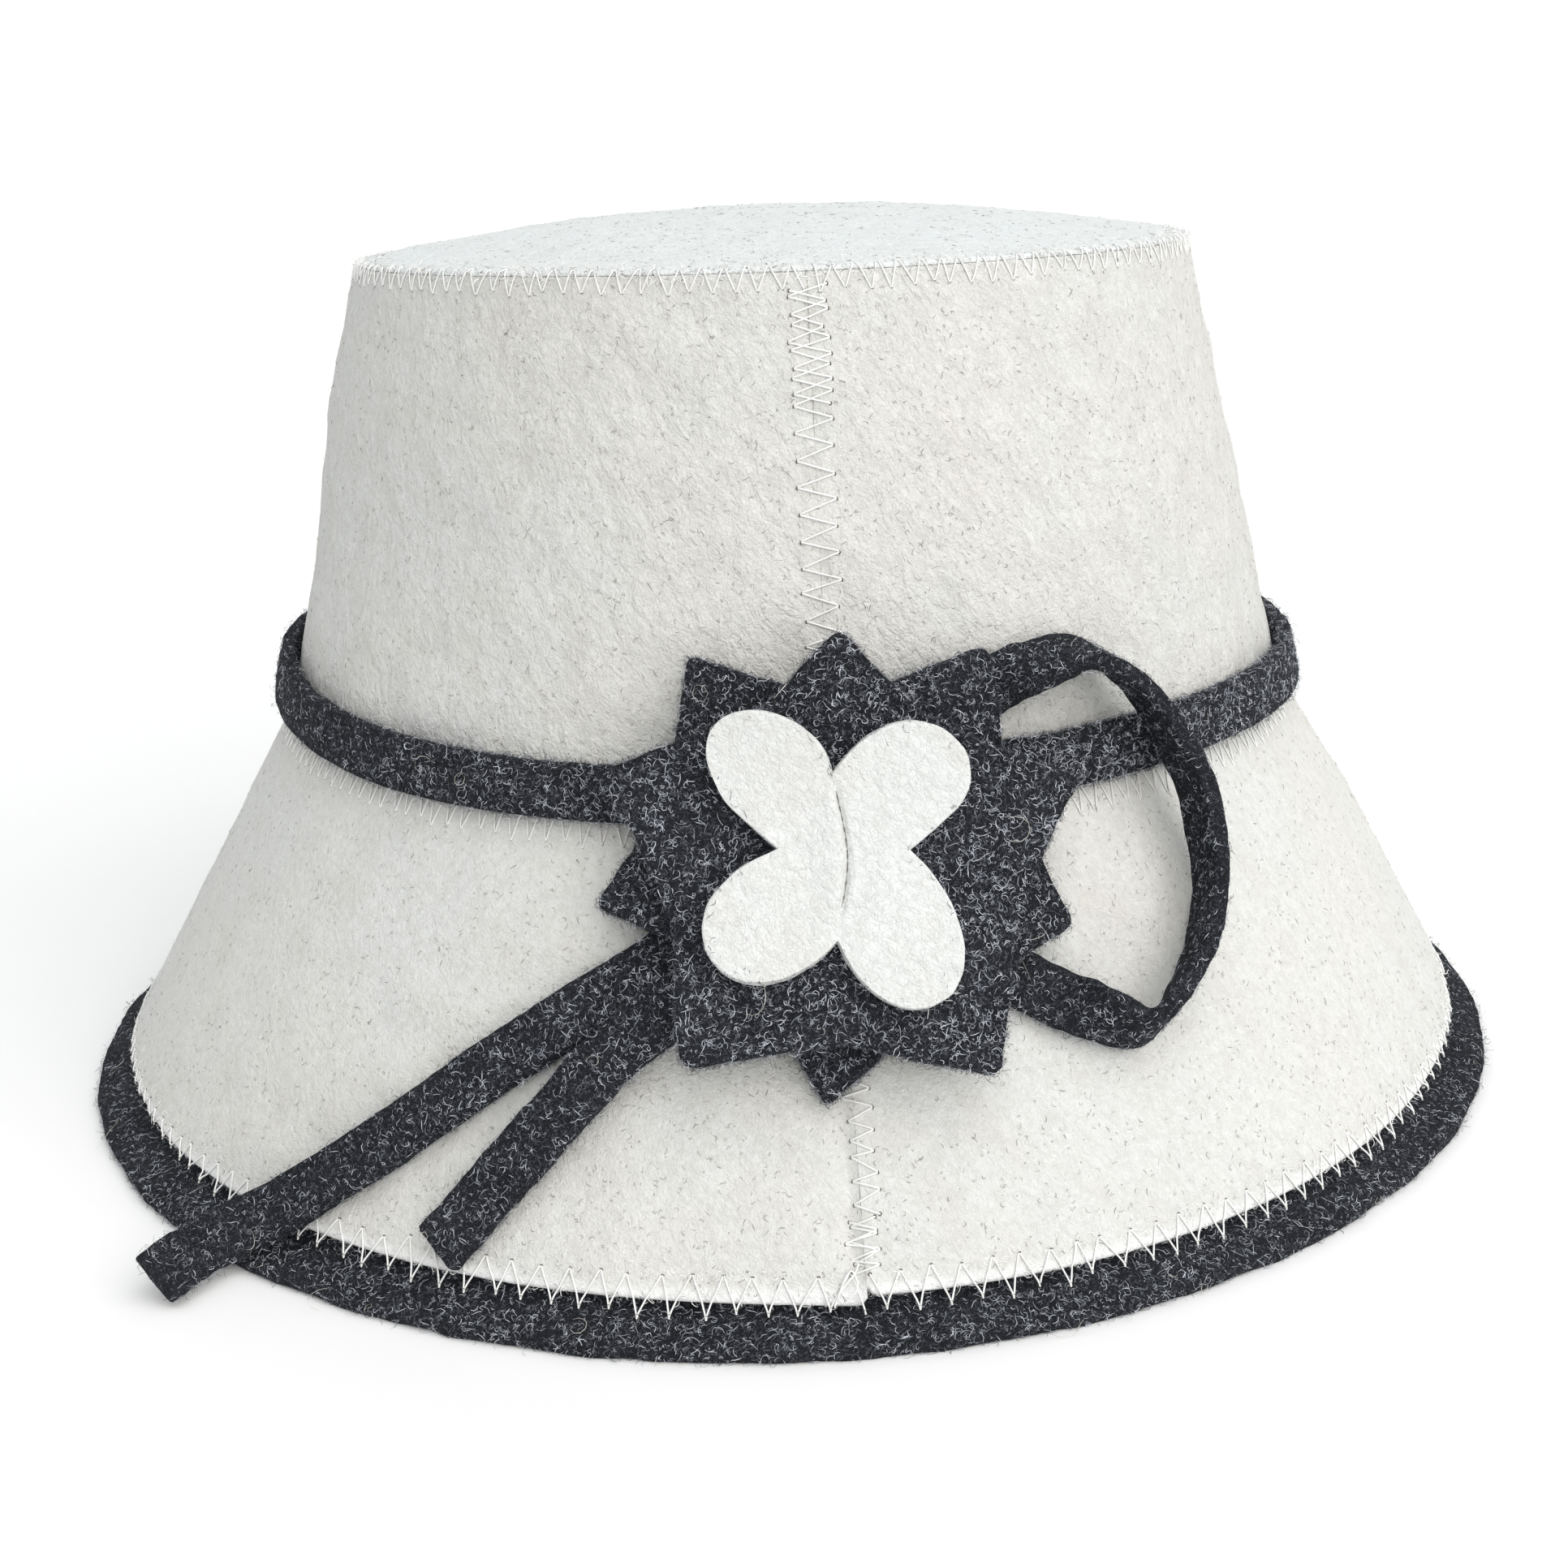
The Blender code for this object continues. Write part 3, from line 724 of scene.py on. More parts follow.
def wrapped_panel(name, azimuth, outer, inner, rows, corners, pinch, out, material):
    """A felt wall whose outer and inner faces each run between two slants, its ends meeting at the front."""
    lines = []
    for part in np.linspace(0.0, 1.0, rows):
        slant = outer[0] + (outer[1] - outer[0]) * part
        lines.append(skin(azimuth, slant, -seam_pinch(azimuth, slant, pinch)))
    for part in np.linspace(1.0, 0.0, INNER_ROWS):
        lines.append(skin(azimuth, inner[0] + (inner[1] - inner[0]) * part, -FELT))
    radii = [0.0] * len(lines)
    for index, radius in zip((0, rows - 1, rows, -1), corners):
        radii[index] = radius
    return closed_piece(name, rounded(lines, radii), False, material, "white_felt", WHITE_FELTING,
                        turned(azimuth, *out))


def crown_side():
    """The crown's wall."""
    azimuth = panel_azimuths()
    outer, inner = ((JOINT_GAP / 2, rim_slant(azimuth, drop + JOINT_GAP))
                    for drop in (TIP_EDGE_ROUNDING, FELT))
    return wrapped_panel("crown_side", azimuth, outer, inner, WALL_ROWS, (0.0001, 0.0001, 0.0003, 0.0003),
                         CROWN_PINCH, WALL_OUT, WHITE)


def brim():
    """The flared brim, its edge stepped at the front seam."""
    azimuth = panel_azimuths()
    near = np.clip(SEAM_CORNER - np.radians(abs(beside(azimuth))) * BRIM_EDGE[0], 0.0, SEAM_CORNER)
    corner = SEAM_CORNER - np.sqrt(SEAM_CORNER**2 - near**2)
    ends = (-BRIM_LENGTH - seam_step(360.0 - azimuth) + 0.8 * corner, -JOINT_GAP / 2)
    return wrapped_panel("brim", azimuth, ends, ends, BRIM_ROWS, (0.0009, 0.0001, 0.0003, 0.0009), BRIM_PINCH,
                         BRIM_OUT, WHITE_EDGED)


def crown_tip():
    """The crown's round top piece, domed, with a soft edge, in the white felt with painted sky light."""
    place = partial(on_dome, np.linspace(0.0, 360.0, TIP_COLUMNS, endpoint=False))
    inset = 1.0 - FELT / CROWN_TOP[0]
    under = [place(inset * share, -FELT) for share in np.linspace(0.0, 1.0, 10)]
    rim = rounded([under[-1], place(1.0, -TIP_EDGE_ROUNDING), place(1.0), place(0.97)],
                  (0.0, 0.00005, 0.0006, 0.0))
    top = [place(share) for share in np.linspace(0.955, 0.0, TIP_RINGS)]
    grid = np.stack(under + rim[1:] + top, axis=1)
    return fan_piece("crown_tip", grid, WHITE_PAINTED_SKYLIT_TOP, "white_felt", WHITE_FELTING, True)


def edging_rows(azimuth):
    """The corners of the edging's section at these azimuths."""
    wave = swell(azimuth, -BRIM_LENGTH) - np.interp(azimuth % 360.0, *smooth_round(EDGING_NARROWING, 721))
    step = seam_step(abs(beside(azimuth)))
    under = -FELT - EDGING_GAP
    upper = EDGING_OVERLAP - BRIM_LENGTH
    return [
        skin(azimuth, upper, under),
        skin(azimuth, -BRIM_LENGTH - step - EDGING_GAP, under),
        turned(azimuth, EDGING_LIP[0] + wave, EDGING_LIP[1]),
        turned(azimuth, EDGING_BASE_OUTER + wave, 0.0),
        turned(azimuth, EDGING_BASE_INNER + wave, 0.0),
        turned(azimuth, EDGING_INNER_BEND[0] + wave, EDGING_INNER_BEND[1]),
        skin(azimuth, EDGING_INNER_TURN - BRIM_LENGTH, under - FELT),
        skin(azimuth, upper, under - FELT),
    ]


def brim_edging():
    """The charcoal band under the brim's edge, flared outward."""
    corners = edging_rows(np.linspace(0.0, 360.0, COLUMNS, endpoint=False))
    rows = rounded(corners, (0.0003, 0.0014, 0.0008, 0.0006, 0.0006, 0.0010, 0.0010, 0.0005))[::-1]
    return closed_piece("brim_edging", divided(rows, EDGING_STEP), True, CHARCOAL, "grey_felt",
                        (0.00012, 0.00007, 40))


def strip_rows(centre, wide, thick):
    """The rows of a felt strip with round corners, from its width and thickness directions."""
    corners = [centre + (wide * across * STRIP_WIDTH + thick * out * FELT) / 2
               for across, out in ((1, 1), (-1, 1), (-1, -1), (1, -1))]
    return divided(rounded(corners, (0.0009,) * 4), STRIP_STEP)


def strap():
    """The charcoal band round the crown's foot."""
    azimuth, slant = smooth_round(STRAP_WAY, COLUMNS + 1)[:, :-1]
    lift = STRAP_CLEARANCE + STRAP_SIDE_SLACK * np.sin(np.radians(azimuth)) ** 4 + FELT / 2
    wide = unit(skin(azimuth, STRIP_WIDTH, lift) - skin(azimuth, 0.0, lift))
    thick = unit(skin(azimuth, STRIP_WIDTH, lift) - skin(azimuth, STRIP_WIDTH, 0.0))
    rows = strip_rows(skin(azimuth, slant, lift), -wide, thick)
    return closed_piece("strap", rows, True, CHARCOAL, "grey_felt", (*STRIP_WAVES, 50))


def strip(name, way, stations, seed):
    """A felt strip that follows its way over the hat, turned onto its edge where the way says."""
    azimuth, slant, clearance, turn = smooth_rows(np.array(way) * (1.0, MM, MM, 1.0), stations).T
    angle = np.radians(turn)
    reach = abs(STRIP_WIDTH / 2 * np.sin(angle)) + abs(FELT / 2 * np.cos(angle))
    centre = skin(azimuth, slant, clearance + reach)
    tangent = unit(np.gradient(centre, axis=0))
    out = skin(azimuth, slant, clearance + FELT) - skin(azimuth, slant, clearance)
    side = unit(np.cross(tangent, out))
    out = np.cross(side, tangent)
    cos, sin = np.cos(angle)[:, None], np.sin(angle)[:, None]
    lines = strip_rows(centre, side * cos + out * sin, out * cos - side * sin)
    for line in lines:
        for end in (0, -1):
            line[end] = centre[end] + (line[end] - centre[end]) * STRIP_END_SHARE
    return closed_piece(name, lines, False, CHARCOAL, "grey_felt", (*STRIP_WAVES, seed))


def rounded_star(points):
    """The star's outline: its points rounded, its inner corners sharp, its edges finely divided."""
    angle, radius, rise = np.array(points).T * ((1.0,), (MM,), (MM,))
    turn = np.radians(angle)
    corners = np.stack((radius * np.sin(turn), radius * np.cos(turn), rise), -1)
    stops = []
    for index, corner in enumerate(corners):
        following = (index + 1) % len(corners)
        if radius[index] < max(radius[index - 1], radius[following]):
            stops.append([corner])
            continue
        arrive = corner + unit(corners[index - 1] - corner) * TIP_ROUNDING
        leave = corner + unit(corners[following] - corner) * TIP_ROUNDING
        stops.append([arrive * (1 - t) ** 2 + corner * 2 * t * (1 - t) + leave * t**2
                      for t in np.linspace(0.0, 1.0, 6)])
    outline = []
    for index, stop in enumerate(stops):
        outline += stop
        onward = stops[(index + 1) % len(stops)][0] - stop[-1]
        outline += [stop[-1] + onward * t for t in np.linspace(0.0, 1.0, 22)[1:-1]]
    return np.array(outline)


def cut_out_grid(outline, hub, back, front, rings, edge):
    """The grid of a felt piece cut to an outline: from the middle of its back round to that of its front.

    Back and front are lifts, or functions that give the lift of a place across and up.
    """
    hub = np.array((*hub, 0.0))
    spokes = outline[::-1] - hub

    def line(share, lift):
        across, up = (hub + spokes * share)[:, :2].T
        flat_lift = lift(across, up) if callable(lift) else lift
        return on_star(across, up, flat_lift + spokes[:, 2] * share**4)

    backs = [line(share, back) for share in np.linspace(0.0, 0.93, 8)]
    rim = rounded([line(0.95, back), line(1.0, back), line(1.0, front), line(0.95, front)],
                  (0.0, edge, edge, 0.0))
    fronts = [line(share, front) for share in np.linspace(0.93, 0.0, rings)]
    return np.stack(backs + rim + fronts, axis=1)


def star(name, points, back, seed):
    """A felt star wrapped on the front of the hat."""
    grid = cut_out_grid(rounded_star(points), (0.0, 0.0), back, back + FELT, STAR_RINGS, 0.0007)
    return fan_piece(name, grid, CHARCOAL, "grey_felt", (0.00012, 0.00008, seed))


def petals():
    """The white four-lobed cut-out, creased down its middle, its left half bulging over the crease."""
    outline = []
    for index, (notch, leave, arrive, rise) in enumerate(PETAL_LOBES):
        end = PETAL_LOBES[(index + 1) % len(PETAL_LOBES)][0]
        for part in np.linspace(0.0, 1.0, LOBE_STEPS, endpoint=False):
            weights = ((1 - part) ** 3, 3 * part * (1 - part) ** 2, 3 * part**2 * (1 - part), part**3)
            spot = weights @ np.array((notch, leave, arrive, end))
            outline.append((*spot, rise * math.sin(math.pi * part)))

    def front(across, up):
        aside = across - np.interp(up, *PETAL_CREASE.T)
        low, high = PETAL_CREASE[0, 0], PETAL_CREASE[-1, 0]
        along = np.clip((up - low) / CREASE_FADE, 0.0, 1.0) * np.clip((high - up) / CREASE_FADE, 0.0, 1.0)
        groove = CREASE_DEPTH * np.exp(-((aside / CREASE_HALF_WIDTH) ** 2))
        out = abs(aside) / CREASE_BULGE_PEAK
        bulge = (aside < 0.0) * CREASE_BULGE * out * np.exp(1.0 - out - (aside / CREASE_BULGE_REACH) ** 2)
        return PETAL_BACK + PETAL_FELT + along * (bulge - groove)

    grid = cut_out_grid(MM * np.array(outline), PETAL_HUB, PETAL_BACK, front, PETAL_RINGS, 0.0005)
    return fan_piece("petals", grid, PETAL_WHITE, "petal_felt", (0.00010, 0.00004, 90))


def crease_shadow_line():
    """The painted shadow line where the petals' two halves meet in the crease."""
    up, across = smooth_rows(PETAL_CREASE, 90)[1:-1].T
    width = CREASE_SHADOW_WIDTH * (0.75 + 0.35 * np.sin(up * 2600.0) + 0.2 * np.sin(up * 5900.0 + 1.0))
    lift = PETAL_BACK + PETAL_FELT - CREASE_DEPTH + CREASE_SHADOW_LIFT
    line = np.stack([on_star(across + width * side / 2, up, lift) for side in (-1.0, 1.0)], axis=1)
    mesh_object("crease_shadow_line", line, grid_faces(len(line), 2, False, False), PAINTED_SHADE, "petal_felt")


# Threads

# Loose thread at the corner of the brim's left end: azimuth, up from the brim's edge and lift in millimetres
LOOSE_END = (
    (-0.45, 5.0, -0.2),
    (-0.75, 3.6, 0.5),
    (-1.25, 2.4, 0.7),
    (-1.70, 1.0, 0.7),
    (-1.35, 0.1, 0.9),
    (-0.80, 0.8, 1.1),
    (-0.65, 2.4, 0.9),
    (-0.95, 4.0, 0.6),
    (-1.40, 3.0, 0.8),
    (-1.90, 0.4, 0.7),
    (-2.20, -1.2, 0.5),
)

# The edging's stitches, wide at the front and drawn in at the sides: degrees from the front, half width
EDGING_STITCH_FADE = (46.0, 66.0)
EDGING_STITCH_REACH = (0.0028, 0.0010)

# Where they end on the edging: distance across, and share of the way from the edging's bend to its lip
EDGING_STITCH_END = (0.0040, 0.62)

# A stitch: shares of its way and its lift there, above 0 over the felt
STITCH_PARTS = np.array((0.0, 0.05, 0.16, 0.34, 0.5, 0.66, 0.84, 0.95, 1.0))
STITCH_LIFTS = np.array((-0.40, 0.06, 0.17, 0.21, 0.22, 0.21, 0.17, 0.06, -0.40)) * MM
THREAD_SIDES = 5
HOLE_CORNERS = 8
HOLE_QUADS = np.array(((0, 1, 2, 3), (0, 3, 4, 7), (4, 5, 6, 7)))


def ring_round(side, over, radius, corners):
    """Points of a ring about each place, measured from it, in the plane of two directions."""
    angle = np.linspace(0.0, 2 * math.pi, corners, endpoint=False)[:, None]
    return (side[..., None, :] * np.cos(angle) + over[..., None, :] * np.sin(angle)) * radius


def tubes(paths, radius):
    """Points and faces of one tube along each path of points."""
    tangent = unit(np.gradient(paths, axis=1))
    side = unit(np.cross(tangent, (0.13, 0.31, 0.94)))
    points = paths[:, :, None] + ring_round(side, np.cross(side, tangent), radius, THREAD_SIDES)
    one = grid_faces(paths.shape[1], THREAD_SIDES, False, True)
    return points.reshape(-1, 3), repeated(one, len(paths), paths.shape[1] * THREAD_SIDES)


def zigzag(along_way, half_width, centre, seed, looseness=0.06):
    """Needle holes of a zigzag: along the seam and across it, every other hole on the other side."""
    chance = np.random.default_rng(seed)
    count = len(along_way)
    side = np.where(np.arange(count) % 2 == 0, 1.0, -1.0)
    across = centre + side * half_width * (1.0 + chance.normal(0.0, looseness, count))
    step = np.gradient(along_way)
    return np.stack((along_way + step * chance.normal(0.0, looseness * 1.4, count), across), -1)


def stitch_paths(holes, place):
    """Thread paths from each needle hole to the next, over the surface that place gives."""
    start, end = holes[:-1, None], holes[1:, None]
    spot = start + (end - start) * STITCH_PARTS[None, :, None]
    return place(spot[..., 0], spot[..., 1], STITCH_LIFTS[None, :] + np.zeros(spot.shape[:2]))


def seam_place(slant, across, lift):
    """A place beside the front seam: slant, distance across and lift."""
    azimuth = azimuth_at(across, slant)
    on_crown, on_brim = (seam_pinch(azimuth, slant, pinch) for pinch in (CROWN_PINCH, BRIM_PINCH))
    pinch = np.where(slant > 0.0, on_crown, on_brim)
    return skin(azimuth, slant, lift + felt_waves(skin(azimuth, slant, -pinch), *WHITE_FELTING) - pinch)


def joint_place(azimuth, slant, lift):
    """A place on the white felt, from azimuth, slant and lift."""
    return skin(azimuth, slant, lift + felt_waves(skin(azimuth, slant), *WHITE_FELTING))


def rim_place(azimuth, across, lift):
    """A place over the crown's rim: in towards the middle where across is positive, down the wall if not."""
    top = on_dome(azimuth, 1.0 - np.maximum(across, 0.0) / CROWN_TOP[0])
    top[..., 2] += lift + felt_waves(top, *WHITE_FELTING)
    wall = joint_place(azimuth, rim_slant(azimuth) + np.minimum(across, 0.0), lift)
    share = eased(across, 0.0004)
    return top * share + wall * (1.0 - share)


def edge_place(azimuth, across, lift):
    """A place over the brim's edge: up the brim where across is positive, out on the edging where not."""
    azimuth, across, lift = same_shape(azimuth, across, lift)
    upward = np.array((0.0, 0.0, 1.0))
    raised = np.maximum(lift, 0.0)
    brim_spot = joint_place(azimuth, -BRIM_LENGTH + np.maximum(across, 0.0), lift)
    corner = skin(azimuth, -BRIM_LENGTH + 0.0002, 0.0001 + raised * 0.5)
    bend, lip = (row.reshape(azimuth.shape + (3,)) for row in edging_rows(azimuth.ravel())[1:3])
    end, share = EDGING_STITCH_END
    far = bend + (lip - bend) * share + upward * (raised[..., None] + 0.0001)
    over = corner + (far - corner) * np.clip(-across / end, 0.0, 1.1)[..., None]
    return np.where((across > 0.0)[..., None], brim_spot, over + np.minimum(lift, 0.0)[..., None] * upward)


def needle_holes(paths, radius):
    """Small dark rounds where the threads enter the felt, the painted shade of the needle holes: points and
    faces.
    """
    spots = np.concatenate((paths[:, 1], paths[-1:, -2]))
    normal = unit(np.concatenate((paths[:, 1] - paths[:, 0], paths[-1:, -2] - paths[-1:, -1])))
    side = unit(np.cross(normal, (0.2, 0.3, 0.93)))
    rounds = ring_round(side, np.cross(normal, side), radius, HOLE_CORNERS)
    points = (spots - normal * 0.00002)[:, None] + rounds
    return points.reshape(-1, 3), repeated(HOLE_QUADS, len(spots), HOLE_CORNERS)


def sew(name, groups, radius, holes_radius):
    """The threads of one seam and the painted shade of their needle holes, as two pieces."""
    every = [stitch_paths(holes, place) for holes, place in groups]
    for ending, make, size, material in (
        ("", tubes, radius, THREAD),
        ("_holes", needle_holes, holes_radius, PAINTED_SHADE),
    ):
        made = [make(paths, size) for paths in every]
        starts = np.cumsum([0] + [len(points) for points, faces in made])
        mesh_object(name + ending, np.vstack([points for points, faces in made]),
                    np.vstack([faces + start for (points, faces), start in zip(made, starts)]), material,
                    "white_felt")


def threads():
    """Every seam's zigzag thread."""
    mirror = np.array((1.0, -1.0))
    front_top = WALL_LENGTH - 0.0026
    crown = np.arange(front_top, 0.012, -0.00215)
    double = np.arange(front_top - 0.0008, front_top - 0.0210, -0.00208)
    sew("crown_seam", (
        (zigzag(crown, 0.0033, 0.0, 1), seam_place),
        (zigzag(double, 0.0032, 0.0, 2, 0.1) * mirror, seam_place),
    ), 0.00016, 0.00038)
    brim_way = np.arange(-0.030, -0.0645, -0.00165)
    brim_dense = np.arange(-0.0632, -BRIM_LENGTH + 0.0030, -0.00128)
    brim_double = np.arange(-0.0640, -BRIM_LENGTH + 0.0040, -0.00165)
    sew("brim_seam", (
        (zigzag(brim_way, 0.0021, 0.0009, 3, 0.12), seam_place),
        (zigzag(brim_dense, 0.0025, 0.0002, 8, 0.12), seam_place),
        (zigzag(brim_double, 0.0024, 0.0, 4, 0.16) * mirror, seam_place),
    ), 0.00017, 0.00036)
    edge_way = np.linspace(0.3, 359.7, 352)
    reach = np.interp(abs(beside(edge_way)), EDGING_STITCH_FADE, EDGING_STITCH_REACH)
    sew("edging_seam", ((zigzag(edge_way, reach, 0.0010, 5, 0.1), edge_place),), 0.00016, 0.00036)
    rim_way = np.linspace(0.5, 359.5, 276)
    sew("rim_seam", ((zigzag(rim_way, 0.0023, -0.0014, 6, 0.14), rim_place),), 0.00014, 0.00024)
    joint_way = np.linspace(0.5, 359.5, 372)
    sew("joint_seam", ((zigzag(joint_way, 0.0036, -0.0014, 7, 0.1), joint_place),), 0.00015, 0.00022)
    azimuth, across, lift = smooth_rows(np.array(LOOSE_END) * (1.0, MM, MM), 60).T
    mesh_object("loose_end", *tubes(edge_place(azimuth, across, lift)[None], 0.00016), THREAD, "white_felt")


# Loose wool

LAID_SHARE = 0.75
FLOOR_CLEARANCE = 0.0001


def cell_areas(grid):
    """Areas of a grid's cells."""
    corner = grid[:-1, :-1]
    return np.linalg.norm(np.cross(grid[1:, :-1] - corner, grid[:-1, 1:] - corner), axis=-1)


def surface_spots(grid, normals, count, chance, keep):
    """Random spots on a grid's faces, spread by area, with their outward directions."""
    area = cell_areas(grid)
    wanted = area * keep(grid[:-1, :-1], normals[:-1, :-1])
    picked = chance.choice(area.size, size=count, p=(wanted / wanted.sum()).ravel())
    i, j = np.unravel_index(picked, area.shape)
    u, v = chance.random((2, count, 1))
    spots = (grid[i, j] * (1 - u) * (1 - v) + grid[i + 1, j] * u * (1 - v)
             + grid[i, j + 1] * (1 - u) * v + grid[i + 1, j + 1] * u * v)
    return spots, normals[i, j]


def wool(name, grids, count, length, width, height, curl, material, seed, keep, steps, slot):
    """Curly loose hairs on the surfaces, as flat ribbons joined in one mesh.

    length, width and height are the largest, in millimetres, curl is the turn of a hair per length of it and
    steps is its points.
    """
    chance = np.random.default_rng(seed)
    areas = np.array([float(cell_areas(grid).sum()) for grid, normal in grids])
    shares = np.maximum(1, (areas / areas.sum() * count).astype(int))
    found = [surface_spots(*pair, share, chance, keep) for pair, share in zip(grids, shares)]
    spots, normals = (np.vstack(part) for part in zip(*found))
    count = len(spots)
    side = unit(np.cross(normals, chance.normal(size=(count, 3))))
    over = np.cross(normals, side)
    size = length * MM * chance.uniform(0.35, 1.0, count)
    bend = chance.normal(0.0, curl, (count, 1))
    bend = bend + chance.normal(0.0, curl * 0.5, (count, steps)).cumsum(axis=1)
    heading = (np.cumsum(bend, axis=1) / steps)[..., None]
    stride = (size / steps)[:, None, None]
    strides = (side[:, None] * np.cos(heading) + over[:, None] * np.sin(heading)) * stride
    path = spots[:, None] + np.cumsum(strides, axis=1)
    part = np.linspace(0.0, 1.0, steps)
    top = height * MM * chance.uniform(0.1, 1.0, (count, 1)) ** 2
    laid = chance.random((count, 1)) < LAID_SHARE
    rise = np.where(laid, np.sin(math.pi * part) * top, part**1.5 * top * 1.6) + 0.00004
    path = path + normals[:, None] * rise[..., None]
    tangent = unit(np.gradient(path, axis=1))
    flat = unit(np.cross(tangent, normals[:, None] + 0.6 * chance.normal(size=(count, 1, 3))))
    taper = np.sin(math.pi * np.clip(part, 0.06, 0.94)) ** 0.4
    half = flat * (width * MM / 2 * taper)[None, :, None]
    points = np.stack((path - half, path + half), axis=2)
    points[..., 2] = np.maximum(points[..., 2], FLOOR_CLEARANCE)
    faces = repeated(grid_faces(steps, 2, False, False), count, steps * 2)
    mesh_object(name, points, faces, material, slot)


def away(spots):
    """Level directions away from the hat's middle line."""
    return unit(spots * (1.0, 1.0, 0.0))


def outer_share(spots, normals):
    """How squarely a surface looks away from the hat's middle line."""
    return (normals * away(spots)).sum(axis=-1)


def outside(spots, normals):
    """1 where a surface looks outward or up, 0 where it looks into the hat or down."""
    return (outer_share(spots, normals) + np.maximum(normals[..., 2], 0.0) > 0.15) * 1.0 + 0.02


def at_front(spots, least, power=3):
    """1 at the front of the hat, falling to the least value at its back."""
    front = 0.5 - 0.5 * spots[..., 1] / np.maximum(np.linalg.norm(spots[..., :2], axis=-1), 0.001)
    return least + (1.0 - least) * front**power


def seen(spots, normals):
    """As outside, but denser at the front of the hat and thin at its sides, its back and the crown's top."""
    return outside(spots, normals) * at_front(spots, 0.25) * np.where(normals[..., 2] > 0.8, 0.06, 1.0)


def facing(spots, normals):
    """1 on the faces that look to the front."""
    return (normals[..., 1] < 0.25) * 1.0 + 0.01


def fuller(spots, normals):
    """As outside or facing, but somewhat denser at the front of the hat."""
    return np.maximum(outside(spots, normals), facing(spots, normals)) * at_front(spots, 0.15)


def fuller_painted_lit_right(spots, normals):
    """As fuller, but denser on the right of the hat than on its left: the light hairs paint light on the lit
    right side and shade on the left.
    """
    return fuller(spots, normals) * (1.0 + 0.45 * away(spots)[..., 0])


def at_cut(spots, normals):
    """Above 0 on the cut edges of a piece, most at the hat's front, and 0 on its broad faces."""
    return (abs(outer_share(spots, normals)) < 0.6) * at_front(spots, 0.2)


def at_lip(spots, normals):
    """Above 0 on the outward faces of the edging's lip, most at the hat's front, and 0 elsewhere."""
    lip = (outer_share(spots, normals) > 0.4) & (spots[..., 2] > 0.0008)
    return lip * at_front(spots, 0.3, 2)


def at_rim(spots, normals):
    """Above 0 at the joint round the crown's top, 0 elsewhere."""
    below = top_height(spots[..., 1]) - spots[..., 2]
    reach = np.linalg.norm(spots[..., :2], axis=-1)
    return ((abs(below) < 0.0016) & (reach > CROWN_TOP[0] - 0.0030)) * outside(spots, normals)


def at_edge(spots, normals):
    """Above 0 at the brim's lower edge, 0 elsewhere."""
    return ((spots[..., 2] < BRIM_EDGE[1] + 0.0032) & (normals[..., 2] < 0.62)) * outside(spots, normals)


def on_crease(spots, normals):
    """1 in the petals' crease, where dark hairs paint its shade, 0 elsewhere."""
    line = on_star(PETAL_CREASE[:, 1], PETAL_CREASE[:, 0], PETAL_BACK)
    across = np.interp(spots[..., 2], line[:, 2], line[:, 0])
    inside = (spots[..., 2] > line[0, 2]) & (spots[..., 2] < line[-1, 2])
    return (inside & (abs(spots[..., 0] - across) < 0.0004) & (normals[..., 1] < 0.25)) * 1.0


# Stage

def studio_world():
    """Soft light from all round, and a white backdrop where the floor ends."""
    world = bpy.data.worlds.new("studio")
    world.use_nodes = True
    tree = world.node_tree
    light = tree.nodes["Background"]
    backdrop = tree.nodes.new("ShaderNodeBackground")
    for node, strength in ((light, WORLD_LIGHT), (backdrop, BACKDROP_LIGHT)):
        fill(node.inputs["Color"], WORLD_COLOUR)
        fill(node.inputs["Strength"], strength)
    either = tree.nodes.new("ShaderNodeMixShader")
    seen_directly = tree.nodes.new("ShaderNodeLightPath").outputs["Is Camera Ray"]
    for socket, value in zip(either.inputs, (seen_directly, light.outputs[0], backdrop.outputs[0])):
        fill(socket, value)
    fill(tree.nodes["World Output"].inputs["Surface"], either.outputs[0])
    return world


def stage_and_camera():
    """Pale floor with a swept back, soft lights and the camera."""
    bend = np.linspace(0.0, math.pi / 2, 16)
    depth = np.concatenate(((-4.0, 0.0, 2.0), 4.0 + 1.5 * np.sin(bend), (5.5,)))
    height = np.concatenate(((0.0, 0.0, 0.0), 1.5 - 1.5 * np.cos(bend), (3.5,)))
    grid = np.stack([np.stack((np.full(depth.shape, x), depth, height), -1) for x in (-6.0, 6.0)])
    mesh = bpy.data.meshes.new("floor")
    mesh.from_pydata(grid.reshape(-1, 3).tolist(), [], grid_faces(2, len(depth), False, False).tolist())
    mesh.shade_smooth()
    mesh.materials.append(two_toned("pale_floor", (0.955,) * 3, (0.97,) * 3, (0.01,), roughness=0.9))
    floor = placed("floor", mesh)

    for name, strength, disc, colour, around, above in SUNS:
        sun = bpy.data.lights.new(name, "SUN")
        sun.energy = strength
        sun.angle = math.radians(disc)
        sun.color = colour
        placed(name, sun).rotation_euler = (math.radians(90.0 - above), 0.0, math.radians(around))
    bpy.context.scene.world = studio_world()
    bpy.context.scene.view_settings.view_transform = "Standard"

    data = bpy.data.cameras.new("camera")
    data.lens = CAMERA_LENS
    data.sensor_width = SENSOR_WIDTH
    data.clip_start = 0.01
    camera = placed("camera", data)
    camera.matrix_world = (Matrix.Translation(CAMERA_PLACE) @ Matrix.Rotation(-CAMERA_HEADING, 4, "Z")
                           @ Matrix.Rotation(math.pi / 2 - CAMERA_TILT, 4, "X")
                           @ Matrix.Rotation(CAMERA_ROLL, 4, "Z"))
    bpy.context.scene.camera = camera


# The hat

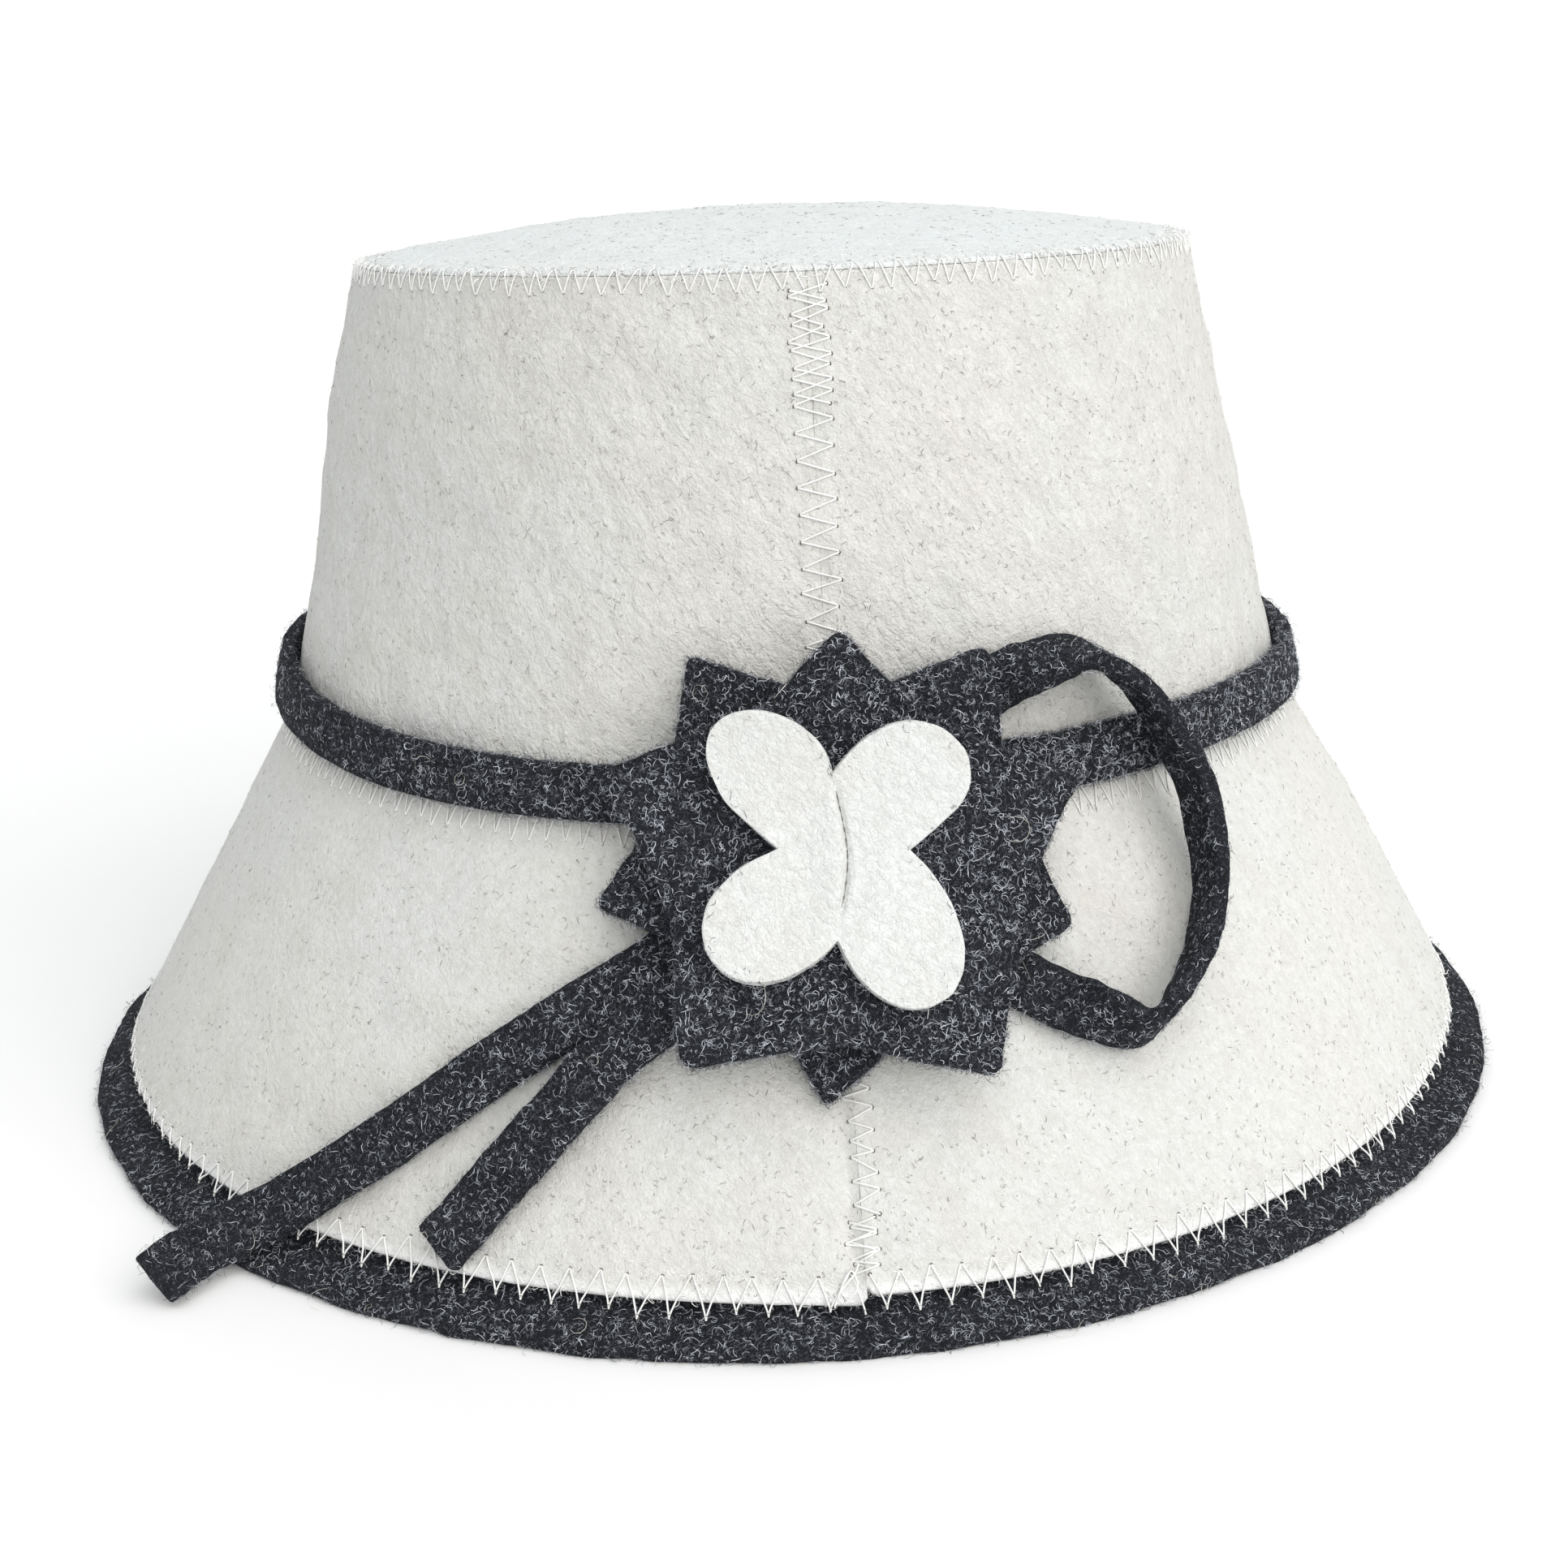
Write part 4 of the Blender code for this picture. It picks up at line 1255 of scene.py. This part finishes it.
def dress():
    """Make every piece over its node, then the threads and the wool."""
    wall, flare, tip = crown_side(), brim(), crown_tip()
    edging = [brim_edging()]
    strips = [
        strap(),
        strip("bow_loop", BOW_LOOP, LOOP_STATIONS, 60),
        strip("tail_long", TAIL_LONG, LONG_STATIONS, 62),
        strip("tail_short", TAIL_SHORT, SHORT_STATIONS, 64),
    ]
    stars = [
        star("star_lower", LOWER_STAR, LOWER_STAR_BACK, 70),
        star("star_upper", UPPER_STAR, UPPER_STAR_BACK, 80),
    ]
    petal = petals()
    crease_shadow_line()
    threads()
    white = [wall, flare, tip]
    border = tuple(sheet[:, -PETAL_RINGS - 3:-PETAL_RINGS + 2] for sheet in petal)

    # Name, surfaces, count, largest length, width and height, curl, wool, seed, where and points of each hair
    for slot, rows in (
        ("grey_felt", (
            ("star_wool", stars, 5500, 3.4, 0.10, 0.3, 4.5, DUSK_WOOL, 115, facing, 4),
            ("star_hairs", stars, 8800, 3.0, 0.11, 0.5, 5.0, GREY_WOOL, 101, facing, 5),
            ("star_fringe", stars, 4200, 2.8, 0.08, 0.9, 4.0, DUSK_WOOL, 111, at_cut, 4),
            ("strip_wool", strips, 4500, 3.4, 0.10, 0.3, 4.5, DUSK_WOOL, 116, fuller, 4),
            # Light hairs denser on the right: painted light on the strips' lit side, painted shade on their
            # left.
            ("strip_hairs", strips, 11000, 3.0, 0.10, 0.5, 5.0, GREY_WOOL, 102, fuller_painted_lit_right, 4),
            ("strip_fringe", strips, 5400, 2.6, 0.08, 0.9, 4.0, DUSK_WOOL, 112, at_cut, 4),
            ("edging_wool", edging, 4200, 3.4, 0.10, 0.3, 4.5, DUSK_WOOL, 117, fuller, 4),
            ("edging_hairs", edging, 13500, 3.2, 0.10, 0.5, 5.0, GREY_WOOL, 103, fuller, 4),
            ("edging_fringe", edging, 3600, 3.0, 0.10, 1.3, 4.0, DUSK_WOOL, 113, at_lip, 4),
            ("long_hairs", stars + strips + edging, 110, 12.0, 0.09, 1.2, 3.0, PALE_WOOL, 104, outside, 9),
        )),
        ("white_felt", (
            ("white_hairs", white, 2000, 3.6, 0.06, 0.6, 3.5, WHITE_WOOL, 105, outside, 5),
            ("rim_hairs", [wall, tip], 5000, 2.6, 0.12, 0.4, 3.5, WHITE_WOOL, 118, at_rim, 4),
            ("dark_hairs", white, 10500, 1.9, 0.085, 0.12, 4.0, DARK_WOOL, 106, seen, 4),
            ("edge_hairs", [flare], 4200, 2.6, 0.12, 0.5, 3.0, WHITE_WOOL, 107, at_edge, 5),
        )),
        ("petal_felt", (
            ("petal_hairs", [petal], 1300, 2.8, 0.09, 0.5, 4.0, WHITE_WOOL, 108, facing, 5),
            ("petal_specks", [petal], 800, 1.5, 0.07, 0.1, 4.0, DARK_WOOL, 110, facing, 4),
            ("petal_fringe", [border], 1400, 2.3, 0.10, 0.6, 5.0, DUSK_WOOL, 114, facing, 4),
            # Dark hairs laid along the crease: loose wool that also paints the crease's shade.
            ("crease_hairs", [petal], 120, 2.4, 0.09, 0.1, 2.0, DARK_WOOL, 109, on_crease, 5),
        )),
    ):
        for row in rows:
            wool(*row, slot)


stage_and_camera()
dress()
